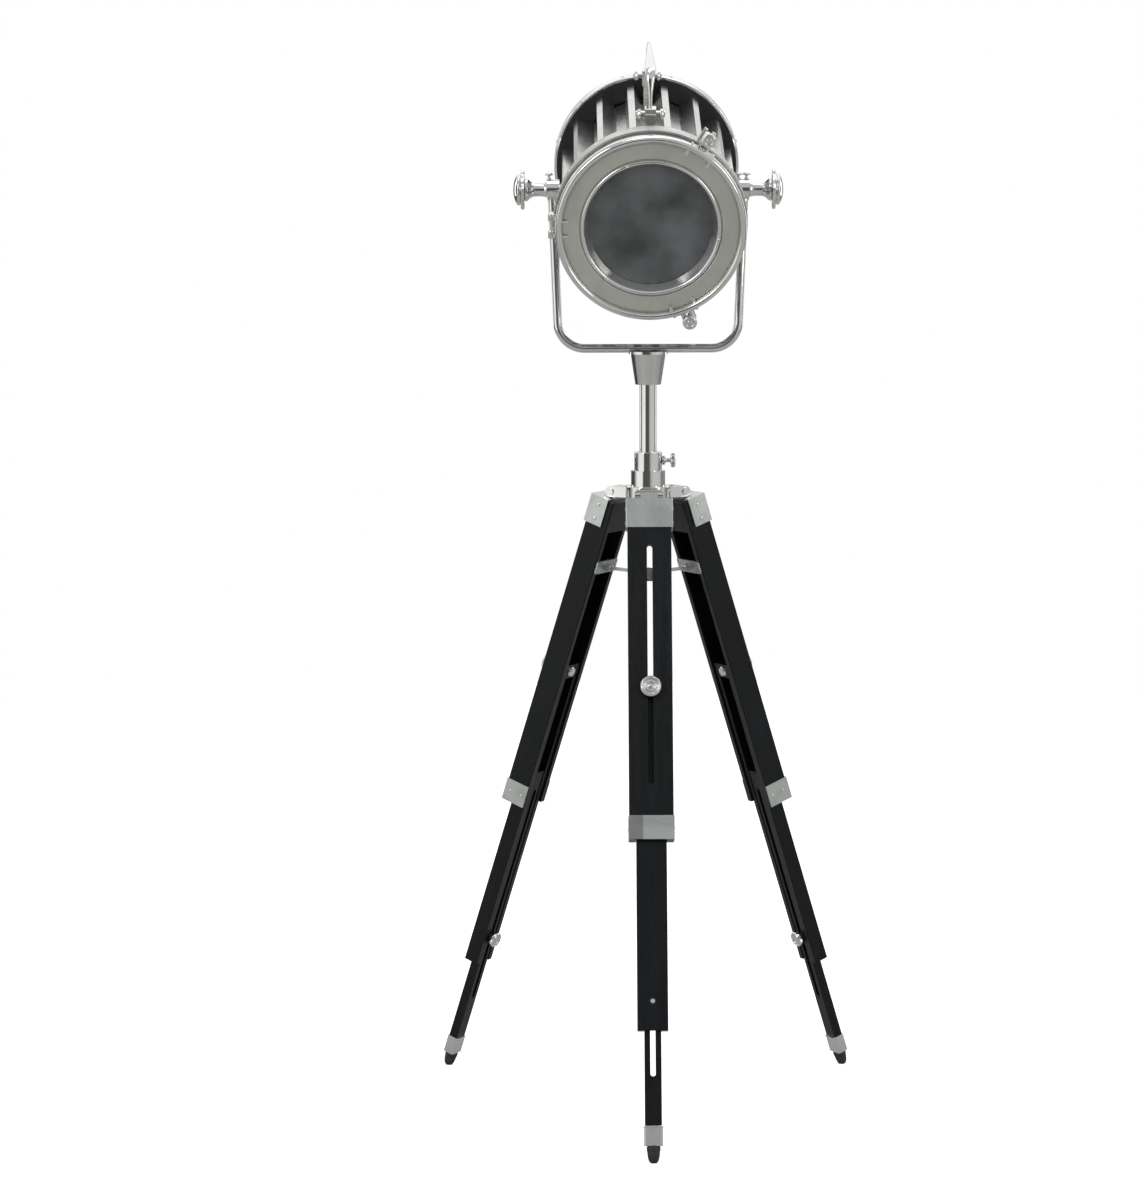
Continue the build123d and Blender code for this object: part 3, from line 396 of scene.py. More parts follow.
def metal_surface_group():
    """Hand-polished metal: wide smudges, a fine haze and small dents."""
    group, entry = new_group(
        "Metal Surface", ("Polish", "Haze", "Dents"), ("Light", "Dull")
    )
    vector = entry["Vector"]
    smudge = add_noise(group, vector, 14.0, 6.0, 0.62, 0.6)
    fine = add_noise(group, vector, 160.0, 3.0, 0.6)
    mask = add_range(group, smudge, 0.42, 0.68, 0.0, 1.0)
    haze = add_math(group, "MULTIPLY", mask, entry["Haze"])
    grit = add_math(group, "MULTIPLY", fine, entry["Polish"])
    total = add_math(group, "ADD", haze, entry["Polish"])
    total = add_math(group, "ADD", total, grit)
    color = add_mix(group, mask, entry["Light"], entry["Dull"])
    dents = add_noise(group, vector, 38.0, 2.0, 0.5)
    normal = add_bump(group, dents, entry["Dents"], 0.002)
    return close_group(group, color, total, normal)


def painted_grain_group():
    """Dark lacquer over open grain: long pores, a soft colour drift and rubbed patches."""
    group, entry = new_group("Painted Grain", ("Relief",), ("Deep", "Sheen"))
    stretch = group.nodes.new("ShaderNodeMapping")
    stretch.inputs["Scale"].default_value = (1.0, 1.0, 0.035)
    group.links.new(entry["Vector"], stretch.inputs["Vector"])
    pores = add_noise(group, stretch.outputs["Vector"], 520.0, 5.0, 0.62, 0.3)
    broad = add_noise(group, stretch.outputs["Vector"], 90.0, 3.0, 0.5, 0.4)
    drift = add_noise(group, entry["Vector"], 9.0, 4.0, 0.6)
    streak = add_range(group, broad, 0.35, 0.7, 0.0, 1.0)
    patch = add_range(group, drift, 0.35, 0.7, 0.0, 1.0)
    tone = add_math(group, "MULTIPLY", streak, patch)
    color = add_mix(group, tone, entry["Deep"], entry["Sheen"])
    rough = add_range(group, drift, 0.3, 0.75, 0.26, 0.42)
    cut = add_range(group, pores, 0.46, 0.6, 0.0, 1.0)
    normal = add_bump(group, cut, entry["Relief"], 0.0004)
    return close_group(group, color, rough, normal)


# ---- materials ----
def start_material(name):
    """A new material's tree, its Principled shader and its Object coordinates."""
    material = bpy.data.materials.new(name)
    material.use_nodes = True
    tree = material.node_tree
    shader = tree.nodes["Principled BSDF"]
    coordinates = tree.nodes.new("ShaderNodeTexCoord")
    return tree, shader, coordinates.outputs["Object"]


def place_group(tree, group, vector, values):
    """A group node with its vector linked and its own values set."""
    node = tree.nodes.new("ShaderNodeGroup")
    node.node_tree = group
    tree.links.new(vector, node.inputs["Vector"])
    for label, value in values.items():
        node.inputs[label].default_value = value
    return node


def use_surface(tree, shader, color, rough, normal=None):
    """Link a colour, a roughness and a normal to the shader."""
    tree.links.new(color, shader.inputs["Base Color"])
    tree.links.new(rough, shader.inputs["Roughness"])
    if normal is not None:
        tree.links.new(normal, shader.inputs["Normal"])


def rgba(color, factor=1.0):
    """A property's colour as RGBA, darkened by a factor."""
    return (color[0] * factor, color[1] * factor, color[2] * factor, 1.0)


def metal_material(name, group, color, polish, haze, dents, dulling):
    """Bare or plated metal."""
    tree, shader, vector = start_material(name)
    values = {
        "Polish": polish, "Haze": haze, "Dents": dents,
        "Light": rgba(color), "Dull": rgba(color, dulling),
    }
    use_surface(tree, shader, *place_group(tree, group, vector, values).outputs)
    shader.inputs["Metallic"].default_value = 1.0


def wood_material(name, group, place, color):
    """Black lacquered wood whose grain runs along one leg."""
    tree, shader, vector = start_material(name)
    turned = tree.nodes.new("ShaderNodeMapping")
    rows = Matrix((place.across, place.up, place.along))
    turned.inputs["Rotation"].default_value = rows.to_euler()
    tree.links.new(vector, turned.inputs["Vector"])
    values = {"Deep": rgba(color, 0.45), "Sheen": rgba(color, 1.5), "Relief": 0.35}
    node = place_group(tree, group, turned.outputs["Vector"], values)
    use_surface(tree, shader, *node.outputs)
    shader.inputs["Specular IOR Level"].default_value = 0.24
    shader.inputs["Coat Weight"].default_value = 0.04
    shader.inputs["Coat Roughness"].default_value = 0.22


def rubber_material(color):
    """Moulded rubber with a dusty bloom."""
    tree, shader, vector = start_material("Foot Rubber")
    bloom = add_range(tree, add_noise(tree, vector, 45.0, 5.0, 0.6), 0.4, 0.7, 0.0, 1.0)
    dusty = add_mix(tree, bloom, rgba(color), rgba(color, 2.2))
    rough = add_range(tree, bloom, 0.0, 1.0, 0.55, 0.8)
    pebble = add_noise(tree, vector, 900.0, 2.0, 0.5)
    use_surface(tree, shader, dusty, rough, add_bump(tree, pebble, 0.35, 0.0005))


def smoked_glass_material(color):
    """Dark glass with cloudy depth."""
    tree, shader, vector = start_material("Smoked Glass")
    cloud = add_noise(tree, vector, 13.0, 3.0, 0.5)
    cloud = add_range(tree, cloud, 0.36, 0.68, 0.0, 1.0)
    tone = add_mix(tree, cloud, rgba(color, 0.5), rgba(color, 1.5))
    use_surface(tree, shader, tone, add_range(tree, cloud, 0.0, 1.0, 0.12, 0.24))
    shader.inputs["IOR"].default_value = 1.5
    shader.inputs["Transmission Weight"].default_value = 0.12


def frosted_glass_material():
    """The bulb's frosted glass."""
    tree, shader, vector = start_material("Bulb Glass")
    frost = add_noise(tree, vector, 220.0, 3.0, 0.5)
    tone = add_mix(tree, frost, (0.82, 0.82, 0.79), (0.93, 0.93, 0.9))
    use_surface(tree, shader, tone, add_range(tree, frost, 0.3, 0.7, 0.3, 0.45))
    shader.inputs["Transmission Weight"].default_value = 0.4


def holder_material():
    """Black moulded plastic of the lamp holder and the cord gland."""
    tree, shader, vector = start_material("Holder Plastic")
    mottle = add_noise(tree, vector, 130.0, 4.0, 0.6)
    tone = add_mix(tree, mottle, (0.012, 0.012, 0.012), (0.03, 0.03, 0.031))
    rough = add_range(tree, mottle, 0.3, 0.7, 0.4, 0.55)
    use_surface(tree, shader, tone, rough, add_bump(tree, mottle, 0.2, 0.0003))


# ---- properties ----
def color_property(name, description, default):
    """A colour setting."""
    return FloatVectorProperty(
        name=name, description=description, subtype="COLOR", default=default, min=0, max=1
    )


def length_property(name, description, default):
    """A length setting, in metres."""
    return FloatProperty(name=name, description=description, default=default, unit="LENGTH")


def angle_property(name, description, degrees):
    """An angle setting."""
    return FloatProperty(
        name=name, description=description, default=math.radians(degrees),
        subtype="ANGLE", unit="ROTATION",
    )


class LampFinishSettings(bpy.types.PropertyGroup):
    """Colours of the lamp's finishes."""

    chrome: color_property("Chrome", "Polished plating", (0.80, 0.80, 0.78))
    nickel: color_property("Nickel", "Caps and straps", (0.62, 0.64, 0.61))
    door: color_property("Door", "Satin face of the door", (0.68, 0.69, 0.62))
    wood: color_property("Wood", "Black lacquer of the legs", (0.006, 0.0078, 0.0092))
    rubber: color_property("Rubber", "Foot tips", (0.022, 0.026, 0.025))
    glass: color_property("Glass", "Smoked front glass", (0.118, 0.123, 0.126))


class LampPartSettings(bpy.types.PropertyGroup):
    """Sizes of the small parts."""

    knob_flutes: IntProperty(
        name="Knob flutes", description="Ribs round a clamping knob", default=36, min=8
    )
    wheel_lobes: IntProperty(
        name="Wheel lobes", description="Lobes round a tilt knob", default=4, min=2
    )
    cap_screw_radius: length_property("Cap screw radius", "Screws of the leg caps", 0.0031)
    rivet_radius: length_property("Rivet radius", "Rivets round the front band", 0.0026)
    band_rivets: IntProperty(
        name="Band rivets", description="Rivets round the front band", default=16, min=4
    )


class LampStageSettings(bpy.types.PropertyGroup):
    """Camera and light."""

    distance: length_property("Distance", "Camera to the mast", 5.0)
    aim_height: length_property(
        "Aim height", "Point on the mast that the framing is set by", 0.8
    )
    azimuth: angle_property("Azimuth", "Camera's way round the lamp", -1.3)
    elevation: angle_property("Elevation", "Camera's height over the aim point", 6.68)
    pan: angle_property("Pan", "Turn that sets the lamp right of the middle", 1.35)
    tilt: angle_property("Tilt", "Turn that sets the aim point above the middle", 0.408)
    lens: FloatProperty(
        name="Lens", description="Focal length in millimetres", default=99.14, min=20
    )


def span(node, place):
    """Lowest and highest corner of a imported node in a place's own millimetres."""
    mesh = frame["nodes"][node].data
    points = np.empty(len(mesh.vertices) * 3)
    mesh.vertices.foreach_get("co", points)
    away = (points.reshape(-1, 3) - place.origin) / MM
    local = np.stack([away @ place.across, away @ place.up, away @ place.along], axis=1)
    return local.min(axis=0), local.max(axis=0)


# ---- operators ----
class LAMP_OT_finishes(bpy.types.Operator):
    """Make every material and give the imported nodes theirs"""

    bl_idname = "lamp.finishes"
    bl_label = "Finishes"

    def execute(self, context):
        colors = context.scene.lamp_finish
        metal = metal_surface_group()
        grain = painted_grain_group()
        metal_material("Chrome", metal, colors.chrome, 0.04, 0.06, 0.06, 0.9)
        metal_material("Satin Nickel", metal, colors.nickel, 0.26, 0.16, 0.16, 0.72)
        # a darker copy of the nickel: painted shade for the straps' laps
        shade_nickel = [0.55 * value for value in colors.nickel]
        metal_material("Worn Nickel", metal, shade_nickel, 0.3, 0.16, 0.2, 0.8)
        metal_material("Door Satin", metal, colors.door, 0.27, 0.10, 0.07, 0.88)
        soft = [0.8 * value for value in colors.chrome]
        metal_material("Drum Plating", metal, soft, 0.14, 0.06, 0.06, 0.9)
        for side in LEGS:
            wood_material(f"Black Wood {side}", grain, leg_place(side), colors.wood)
        rubber_material(colors.rubber)
        smoked_glass_material(colors.glass)
        frosted_glass_material()
        holder_material()
        for part in frame["record"]["subparts"]:
            node, slot = part["node"], part["material_slot"]
            if slot == "black_wood":
                name = "Black Wood " + node.split("_")[1]
            else:
                name = NODE_FINISH.get(node, SLOT_FINISH[slot])
            for material_slot in frame["nodes"][node].material_slots:
                material_slot.material = finish_of(name)
        return {"FINISHED"}


class LAMP_OT_feet(bpy.types.Operator):
    """Ferrules and rubber tips: a folded sleeve round each rail, and a turned tip cut flat"""

    bl_idname = "lamp.feet"
    bl_label = "Feet"

    def execute(self, context):
        for side in LEGS:
            place = leg_place(side)
            rail_low, rail_high = span(f"leg_{side}_lower", place)
            foot_low, foot_high = span(f"leg_{side}_foot", place)
            depth = (rail_low[1] + rail_high[1]) / 2
            width, thickness = rail_high[0] - rail_low[0], rail_high[1] - rail_low[1]
            start, end = foot_low[2], rail_high[2] + FERRULE_SHEET
            outline = (
                (0.0, end), (1.1, end), (1.6, end - 0.6), (1.6, start + 2.6),
                (2.3, start + 2.0), (2.3, start + 0.6), (1.8, start), (0.15, start),
                (0.15, end - FERRULE_SHEET),
            )
            rows = [(grow, 1.2 + grow, station) for grow, station in outline]
            ferrule = mesh_piece(
                f"{side}_foot_ferrule",
                *stacked(place.at(0, depth, 0), width, thickness, rows, 8),
                f"leg_{side}_lower", 35,
            )
            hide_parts(f"leg_{side}_foot")
            radius = (foot_high[1] - foot_low[1]) / 2
            tip = place.at(0, depth, end)
            profile = rounded(
                ((0, 0), (radius - 1.2, 0), (radius, 1.4), (radius, 6.5), (radius - 0.9, 8.0),
                 (radius - 0.7, 9.5), (radius - 1.6, 17.0), (radius - 4.2, 23.6), (0, 25.6)),
                (0, 0.4, 1.0, 1.2, 1.0, 0.8, 5.0, 5.0, 0),
            )
            points, faces = lathe(tip, profile, 48)
            points[:, 2] = np.maximum(points[:, 2], 0.0)
            rubber = mesh_piece(
                f"{side}_foot_tip", points, faces, f"leg_{side}_lower", 50, "Foot Rubber"
            )
            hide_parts(f"leg_{side}_foot")
        return {"FINISHED"}


def knob_shape(place, radius, height, flutes):
    """A turned knob: neck, fluted rim, raised ring, groove, boss and a small centre."""
    r, h = radius / 15.5, height / 11.0
    corners = np.array(
        (
            (0, 0), (11.6, 0), (12.0, 2.6), (15.4, 3.6), (15.5, 9.0), (13.6, 11.0),
            (11.8, 10.8), (11.2, 9.2), (9.0, 9.0), (8.4, 10.4), (6.2, 10.5), (5.6, 8.6),
            (3.6, 8.4), (3.2, 10.0), (0, 10.8),
        )
    )
    profile = rounded(corners * (r, h), 0.7, 4)

    def flute(turn, at_radius, at_height):
        rim = np.clip((at_radius - 14.2 * r) / (1.2 * r), 0, 1)
        return 0.32 * r * rim * np.cos(flutes * turn)

    return lathe(place, profile, 4 * flutes, flute)


class LAMP_OT_leg_knobs(bpy.types.Operator):
    """The two clamping knobs of each leg"""

    bl_idname = "lamp.leg_knobs"
    bl_label = "Leg knobs"

    def execute(self, context):
        parts = context.scene.lamp_parts
        for side in LEGS:
            place = leg_place(side)
            for level, outwards in (("upper", 1), ("lower", -1)):
                node = f"leg_{side}_{level}_knob"
                low, high = span(node, place)
                station = (low[2] + high[2]) / 2
                face = low[1] if outwards > 0 else high[1]
                seat = place.at(0, face, station, place.across, outwards * place.up)
                radius, height = (high[0] - low[0]) / 2, high[1] - low[1]
                if level == "lower":
                    radius *= LOWER_KNOB_GROWTH
                shape = knob_shape(seat, radius, height, parts.knob_flutes)
                knob = mesh_piece(f"{side}_{level}_knob", *shape, node, 40)
                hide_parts(node)
        return {"FINISHED"}


class LAMP_OT_leg_fittings(bpy.types.Operator):
    """Screws of the caps, nails of the straps, and the straps' folded laps"""

    bl_idname = "lamp.leg_fittings"
    bl_label = "Leg fittings"

    def execute(self, context):
        parts = context.scene.lamp_parts
        radius = parts.cap_screw_radius / MM
        for side in LEGS:
            place = leg_place(side)
            cap_high = span(f"leg_{side}_cap", place)[1]
            band_low, band_high = span(f"leg_{side}_band", place)
            middle = (band_low[2] + band_high[2]) / 2
            screws = []
            for hand in (-1, 1):
                out = hand * place.across
                for rise in CAP_SCREW_STATIONS:
                    station = cap_high[2] - rise
                    seat = place.at(hand * cap_high[0], 4.5, station, place.along, out)
                    screws.append(slotted_screw(seat, radius, 1.3))
                for depth in STRAP_NAIL_DEPTHS:
                    seat = place.at(hand * band_high[0], depth, middle, place.along, out)
                    screws.append(slotted_screw(seat, 0.7 * radius, 0.9))
            mesh_piece(f"{side}_leg_screws", *joined(screws), f"leg_{side}", 40)
            width = LAP_EDGE - band_low[0] - 0.4
            height = band_high[2] - band_low[2] - 0.3
            seat = place.at(
                LAP_EDGE - width / 2, band_high[1] - 0.05, middle, place.across, place.up
            )
            rows = ((0.0, 0.8, 0.0), (0.0, 0.8, 0.75), (-0.35, 0.8, LAP_LIFT))
            # the lap takes the darker nickel copy, painted shade on the same metal as the strap
            mesh_piece(
                f"{side}_band_lap", *stacked(seat, width, height, rows, 4),
                f"leg_{side}", 30, "Worn Nickel",
            )
        return {"FINISHED"}


class LAMP_OT_tilt_knobs(bpy.types.Operator):
    """Tilt knobs: a waisted stem, a lobed wheel and a domed cap"""

    bl_idname = "lamp.tilt_knobs"
    bl_label = "Tilt knobs"

    def execute(self, context):
        parts = context.scene.lamp_parts
        for side, hand in (("left", -1), ("right", 1)):
            node = f"tilt_knob_{side}"
            place = head_place()
            seat = Place(place.origin, (0, 0, 1), (hand, 0, 0))
            low, high = span(node, seat)
            start, end = seat.at(0, 0, low[2]), seat.at(0, 0, high[2])
            stem = rounded(
                (
                    (0, 0), (10.6, 0), (11.6, 1.4), (10.2, 4), (9.7, 12), (10.2, 21),
                    (13.2, 25.5), (16.8, 29), (17.4, 32.5), (13.0, 34.5), (0, 34.5),
                ),
                (0, 0.6, 1.2, 3, 8, 3, 2, 1.5, 1.5, 0.5, 0),
            )
            cap = rounded(
                (
                    (0, -11.6), (20.5, -11.6), (23.2, -10.0), (23.6, -8.0), (22.4, -6.2),
                    (16.5, -2.6), (8.0, -0.4), (0, 0),
                ),
                (0, 0.6, 1.2, 1.0, 1.2, 6, 6, 0),
            )
            wheel = rounded(
                (
                    (0, -17.2), (21.0, -17.2), (22.0, -16.2), (22.0, -12.6), (21.0, -11.4),
                    (0, -11.4),
                ),
                (0, 0.8, 1.2, 1.2, 0.8, 0),
            )

            def lobes(turn, radius, height):
                """Round lobes: the rim swells by a power of the cosine of the lobes' angle."""
                rim = np.clip((radius - 14) / 8, 0, 1)
                wave = np.abs(np.cos(parts.wheel_lobes / 2 * turn)) ** 10
                return 7.2 * rim * wave

            turned = (
                lathe(start, stem, 72), lathe(end, wheel, 160, lobes), lathe(end, cap, 72)
            )
            knob = mesh_piece(f"tilt_knob_{side}_turned", *joined(turned), node, 32)
            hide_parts(node)
        return {"FINISHED"}


class LAMP_OT_thumb_screws(bpy.types.Operator):
    """The collar's thumb screw and the mushroom screws that lock the tilt"""

    bl_idname = "lamp.thumb_screws"
    bl_label = "Thumb screws"

    def execute(self, context):
        turn = JOINTS["collar_screw_turn"]
        seat = Place((0, turn["pos_m"][1], turn["pos_m"][2]), (0, 0, 1), turn["axis"])
        low, high = span("collar_thumbscrew", seat)
        end, radius = high[2], high[0]
        collar = COLLAR_FACE
        profile = rounded(
            (
                (0, low[2]), (3.0, low[2]), (3.0, collar + 0.3), (7.4, collar + 0.4),
                (7.4, collar + 4.0), (4.6, collar + 5.2), (3.0, collar + 6.4), (3.0, end - 8.4),
                (5.0, end - 7.6), (radius - 1.2, end - 7.0), (radius, end - 5.6),
                (radius, end - 1.6), (radius - 1.4, end - 0.2), (5.5, end), (4.6, end - 0.8),
                (0, end - 0.8),
            ),
            0.8, 4,
        )

        def flute(turn, at_radius, at_height):
            return 0.3 * (at_radius > radius - 0.6) * np.cos(24 * turn)

        screw = mesh_piece(
            "collar_screw_turned", *lathe(seat, profile, 96, flute), "collar_screw", 40
        )
        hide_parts("collar_thumbscrew")
        trunnion = head_place().origin
        boss_radius = span("yoke_frame", Place(trunnion, (1, 0, 0), (0, 0, 1)))[1][2]
        mushroom = rounded(
            (
                (0, boss_radius - 2.5), (3.6, boss_radius - 2.5), (3.6, boss_radius + 0.8),
                (2.3, boss_radius + 1.6), (2.1, boss_radius + 5.0), (5.4, boss_radius + 5.6),
                (6.1, boss_radius + 7.0), (5.0, boss_radius + 8.8), (0, boss_radius + 9.8),
            ),
            (0, 0.3, 0.6, 0.6, 1.0, 0.6, 1.0, 1.5, 0), 5,
        )
        shapes = []
        for x in LOCK_SCREW_PLACES:
            seat = Place(trunnion + (x * MM, 0, 0), (1, 0, 0), (0, 0, 1))
            shapes.append(lathe(seat, mushroom, 40))
        screws = mesh_piece("tilt_lock_mushrooms", *joined(shapes), "yoke", 35)
        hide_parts("tilt_lock_screws")
        return {"FINISHED"}


class LAMP_OT_head_trim(bpy.types.Operator):
    """Rivets of the front band, bezel screws, hinge straps and latch lugs"""

    bl_idname = "lamp.head_trim"
    bl_label = "Head trim"

    def execute(self, context):
        parts = context.scene.lamp_parts
        head = head_place()
        radius = parts.rivet_radius / MM
        profile = rounded(
            ((0, -0.5), (radius, -0.5), (radius, 0.3), (0.7 * radius, 1.2), (0, 1.6)),
            (0, 0.2, 0.5, 0.8, 0),
        )
        rivets = rivet_ring(
            head, parts.band_rivets, FIRST_BAND_RIVET, BAND_RADIUS, BAND_MIDDLE, profile
        )
        mesh_piece("band_rivets", *rivets, "head", 40)
        bezel = []
        for angle in BEZEL_SCREW_ANGLES:
            seat = clock(head, angle, 99.0, 186.4)
            bezel.append(slotted_screw(seat, 2.6, 1.8))
        mesh_piece("bezel_screws", *joined(bezel), "door", 40)
        straps = []
        for lift in (-11.0, 11.0):
            seat = head.at(-126.5, lift, DOOR_FACE)
            straps.append(bar_shape(seat, 17.0, 4.4, 2.6, 0.9))
            screw = head.at(-121.5, lift, DOOR_FACE + 2.2)
            straps.append(slotted_screw(screw, 1.7, 0.9))
        for angle in LATCH_ANGLES:
            for offset in (-8.0, 8.0):
                lug = clock(head, angle + offset, 127.5, DOOR_FACE)
                straps.append(bar_shape(lug, 15.0, 5.2, 3.6, 1.2))
            middle = clock(head, angle, 136.5, 183.5)
            rod = Place(middle.origin, middle.along, np.cross(middle.along, middle.across))
            profile = rounded(
                ((0, -19.5), (3.0, -19.5), (3.6, -18.5), (3.6, -16.5), (2.6, -15.8),
                 (2.6, 15.8), (3.6, 16.5), (3.6, 18.5), (3.0, 19.5), (0, 19.5)),
                0.5, 3,
            )
            straps.append(lathe(rod, profile, 28))
        mesh_piece("door_straps", *joined(straps), "door", 35)
        return {"FINISHED"}


class LAMP_OT_door_ring(bpy.types.Operator):
    """The door: a rolled lip, a satin face set back in it, a bright inner cone and lugs"""

    bl_idname = "lamp.door_ring"
    bl_label = "Door ring"

    def execute(self, context):
        head = head_place()
        front = head.at(0, 0, span("door_ring", head)[1][2])
        lip = rounded(
            (
                (129.0, -DOOR_DEPTH), (135.5, -DOOR_DEPTH), (137.0, 2.0 - DOOR_DEPTH),
                (136.6, -9.5), (138.2, -7.5), (138.0, -2.5), (134.6, 1.4), (130.6, 1.2),
                (128.0, -2.0), (127.4, -9.0), (125.5, -9.4), (125.5, -10.6), (129.0, -11.0),
                (129.0, -DOOR_DEPTH),
            ),
            (0, 0.6, 1.0, 0.8, 1.0, 2.5, 2.5, 2.0, 2.0, 0.4, 0.3, 0.3, 0.4, 0),
        )
        satin = rounded(
            (
                (128.2, -10.4), (127.2, -7.6), (125.0, -7.0), (104.6, -6.6), (103.2, -7.4),
                (102.6, -9.0), (104.0, -10.4), (128.2, -10.4),
            ),
            (0, 0.5, 0.8, 0.6, 0.5, 0.5, 0.3, 0),
        )
        cone = rounded(
            (
                (103.8, -10.2), (102.0, -7.6), (100.4, -4.6), (97.6, -4.0), (95.4, -6.4),
                (88.6, -19.4), (88.6, -20.8), (91.5, -20.8), (99.5, -10.4), (103.8, -10.2),
            ),
            (0, 0.6, 1.6, 1.6, 1.6, 0.5, 0.3, 0.3, 0.4, 0),
        )
        rings = (
            ("door_lip", lip, "Chrome"), ("door_face", satin, "Door Satin"),
            ("door_cone", cone, "Chrome"),
        )
        for name, profile, finish in rings:
            piece = mesh_piece(name, *lathe(front, profile, 160), "door", 32, finish)
            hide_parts("door_ring")
        lugs = []
        for angle in LATCH_ANGLES:
            for offset in (-6.5, 6.5):
                edge = clock(head, angle, 147.0, 172.0).at(0, offset, 0)
                lugs.append(bar_shape(edge, 26.0, 5.0, 8.0, 1.2))
        for lift in (-13.0, 13.0):
            knuckle = head.at(-143.0, lift, 170.0, head.across, head.up)
            profile = rounded(
                ((0, -6.0), (4.3, -6.0), (5.0, -5.0), (5.0, 5.0), (4.3, 6.0), (0, 6.0)), 0.5, 3
            )
            lugs.append(lathe(knuckle, profile, 28))
            arm = head.at(-135.5, lift, 167.0)
            lugs.append(bar_shape(arm, 15.0, 9.0, 7.0, 1.0))
        piece = mesh_piece("door_lugs", *joined(lugs), "door", 35)
        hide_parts("door_ring")
        return {"FINISHED"}


class LAMP_OT_rear_cover(bpy.types.Operator):
    """Rear cover: a turned rim and dome, a rivet ring and a black sheet of painted shade behind
    the ribs
    """

    bl_idname = "lamp.rear_cover"
    bl_label = "Rear cover"

    def execute(self, context):
        head = head_place()
        low, high = span("rear_cover", head)
        front, rim, back = high[2], high[0], low[2]
        sheet, dome = 3.0, 12.0
        rear = back + dome
        shell = rounded(
            (
                (rim - 17.0, front), (rim - 1.0, front), (rim, front - 2.0), (rim, rear + 2.6),
                (rim - 3.4, rear), (rim - 14.0, rear), (rim - 16.0, rear - 1.8),
                (104.0, rear - 5.6), (68.0, rear - 9.6), (0, back), (0, back + sheet),
                (66.0, rear - 9.0 + sheet), (rim - 14.0, rear + sheet),
                (rim - sheet, rear + sheet), (rim - sheet, front - sheet),
                (rim - 17.0, front - sheet), (rim - 17.0, front),
            ),
            (0, 0.8, 1.2, 2.0, 2.0, 1.2, 1.6, 14, 20, 0, 0, 6, 2, 1, 1, 0.2, 0),
        )
        cover = mesh_piece("rear_cover_turned", *lathe(head, shell, 192), "head", 32)
        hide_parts("rear_cover")
        rivet = rounded(
            ((0, -0.5), (2.4, -0.5), (2.4, 0.3), (1.7, 1.1), (0, 1.5)), (0, 0.2, 0.5, 0.7, 0)
        )
        middle = (front + rear) / 2
        rivets = rivet_ring(head, REAR_RIVETS, FIRST_REAR_RIVET, rim, middle, rivet)
        mesh_piece("rear_rivets", *rivets, "head", 40)
        # painted shade: a thin black sheet on the cover's forward face, where the chrome would
        # only reflect the dark gaps between the ribs
        profile = (
            (106.5, front + 0.02), (136.4, front + 0.02), (136.4, front + 0.6),
            (106.5, front + 0.6), (106.5, front + 0.02),
        )
        mesh_piece("rear_painted_shade", *lathe(head, profile, 96), "head", 30, "Holder Plastic")
        return {"FINISHED"}


class LAMP_OT_door_screws(bpy.types.Operator):
    """The two captive thumb screws of the door"""

    bl_idname = "lamp.door_screws"
    bl_label = "Door screws"

    def execute(self, context):
        for name in ("upper", "lower"):
            turn = JOINTS[f"door_screw_{name}_turn"]
            seat = Place(turn["pos_m"], head_place().across, turn["axis"])
            low, high = span(f"door_screw_{name}", seat)
            radius, end = (high[0] - low[0]) / 2, high[2]
            profile = rounded(
                (
                    (0, low[2]), (2.6, low[2]), (3.0, low[2] + 0.8), (3.0, end - 8.8),
                    (6.4, end - 8.6), (6.8, end - 7.6), (radius - 1, end - 7.4),
                    (radius, end - 6.2), (radius, end - 2.0), (radius - 1.6, end - 0.3),
                    (6.2, end), (5.4, end - 1.4), (3.4, end - 1.6), (2.8, end - 0.6),
                    (0, end - 0.4),
                ),
                0.7, 4,
            )

            def flute(turn_angle, at_radius, at_height):
                return 0.28 * (at_radius > radius - 0.5) * np.cos(28 * turn_angle)

            screw = mesh_piece(
                f"door_thumb_screw_{name}", *lathe(seat, profile, 112, flute),
                f"door_screw_{name}", 40,
            )
            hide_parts(f"door_screw_{name}")
        return {"FINISHED"}


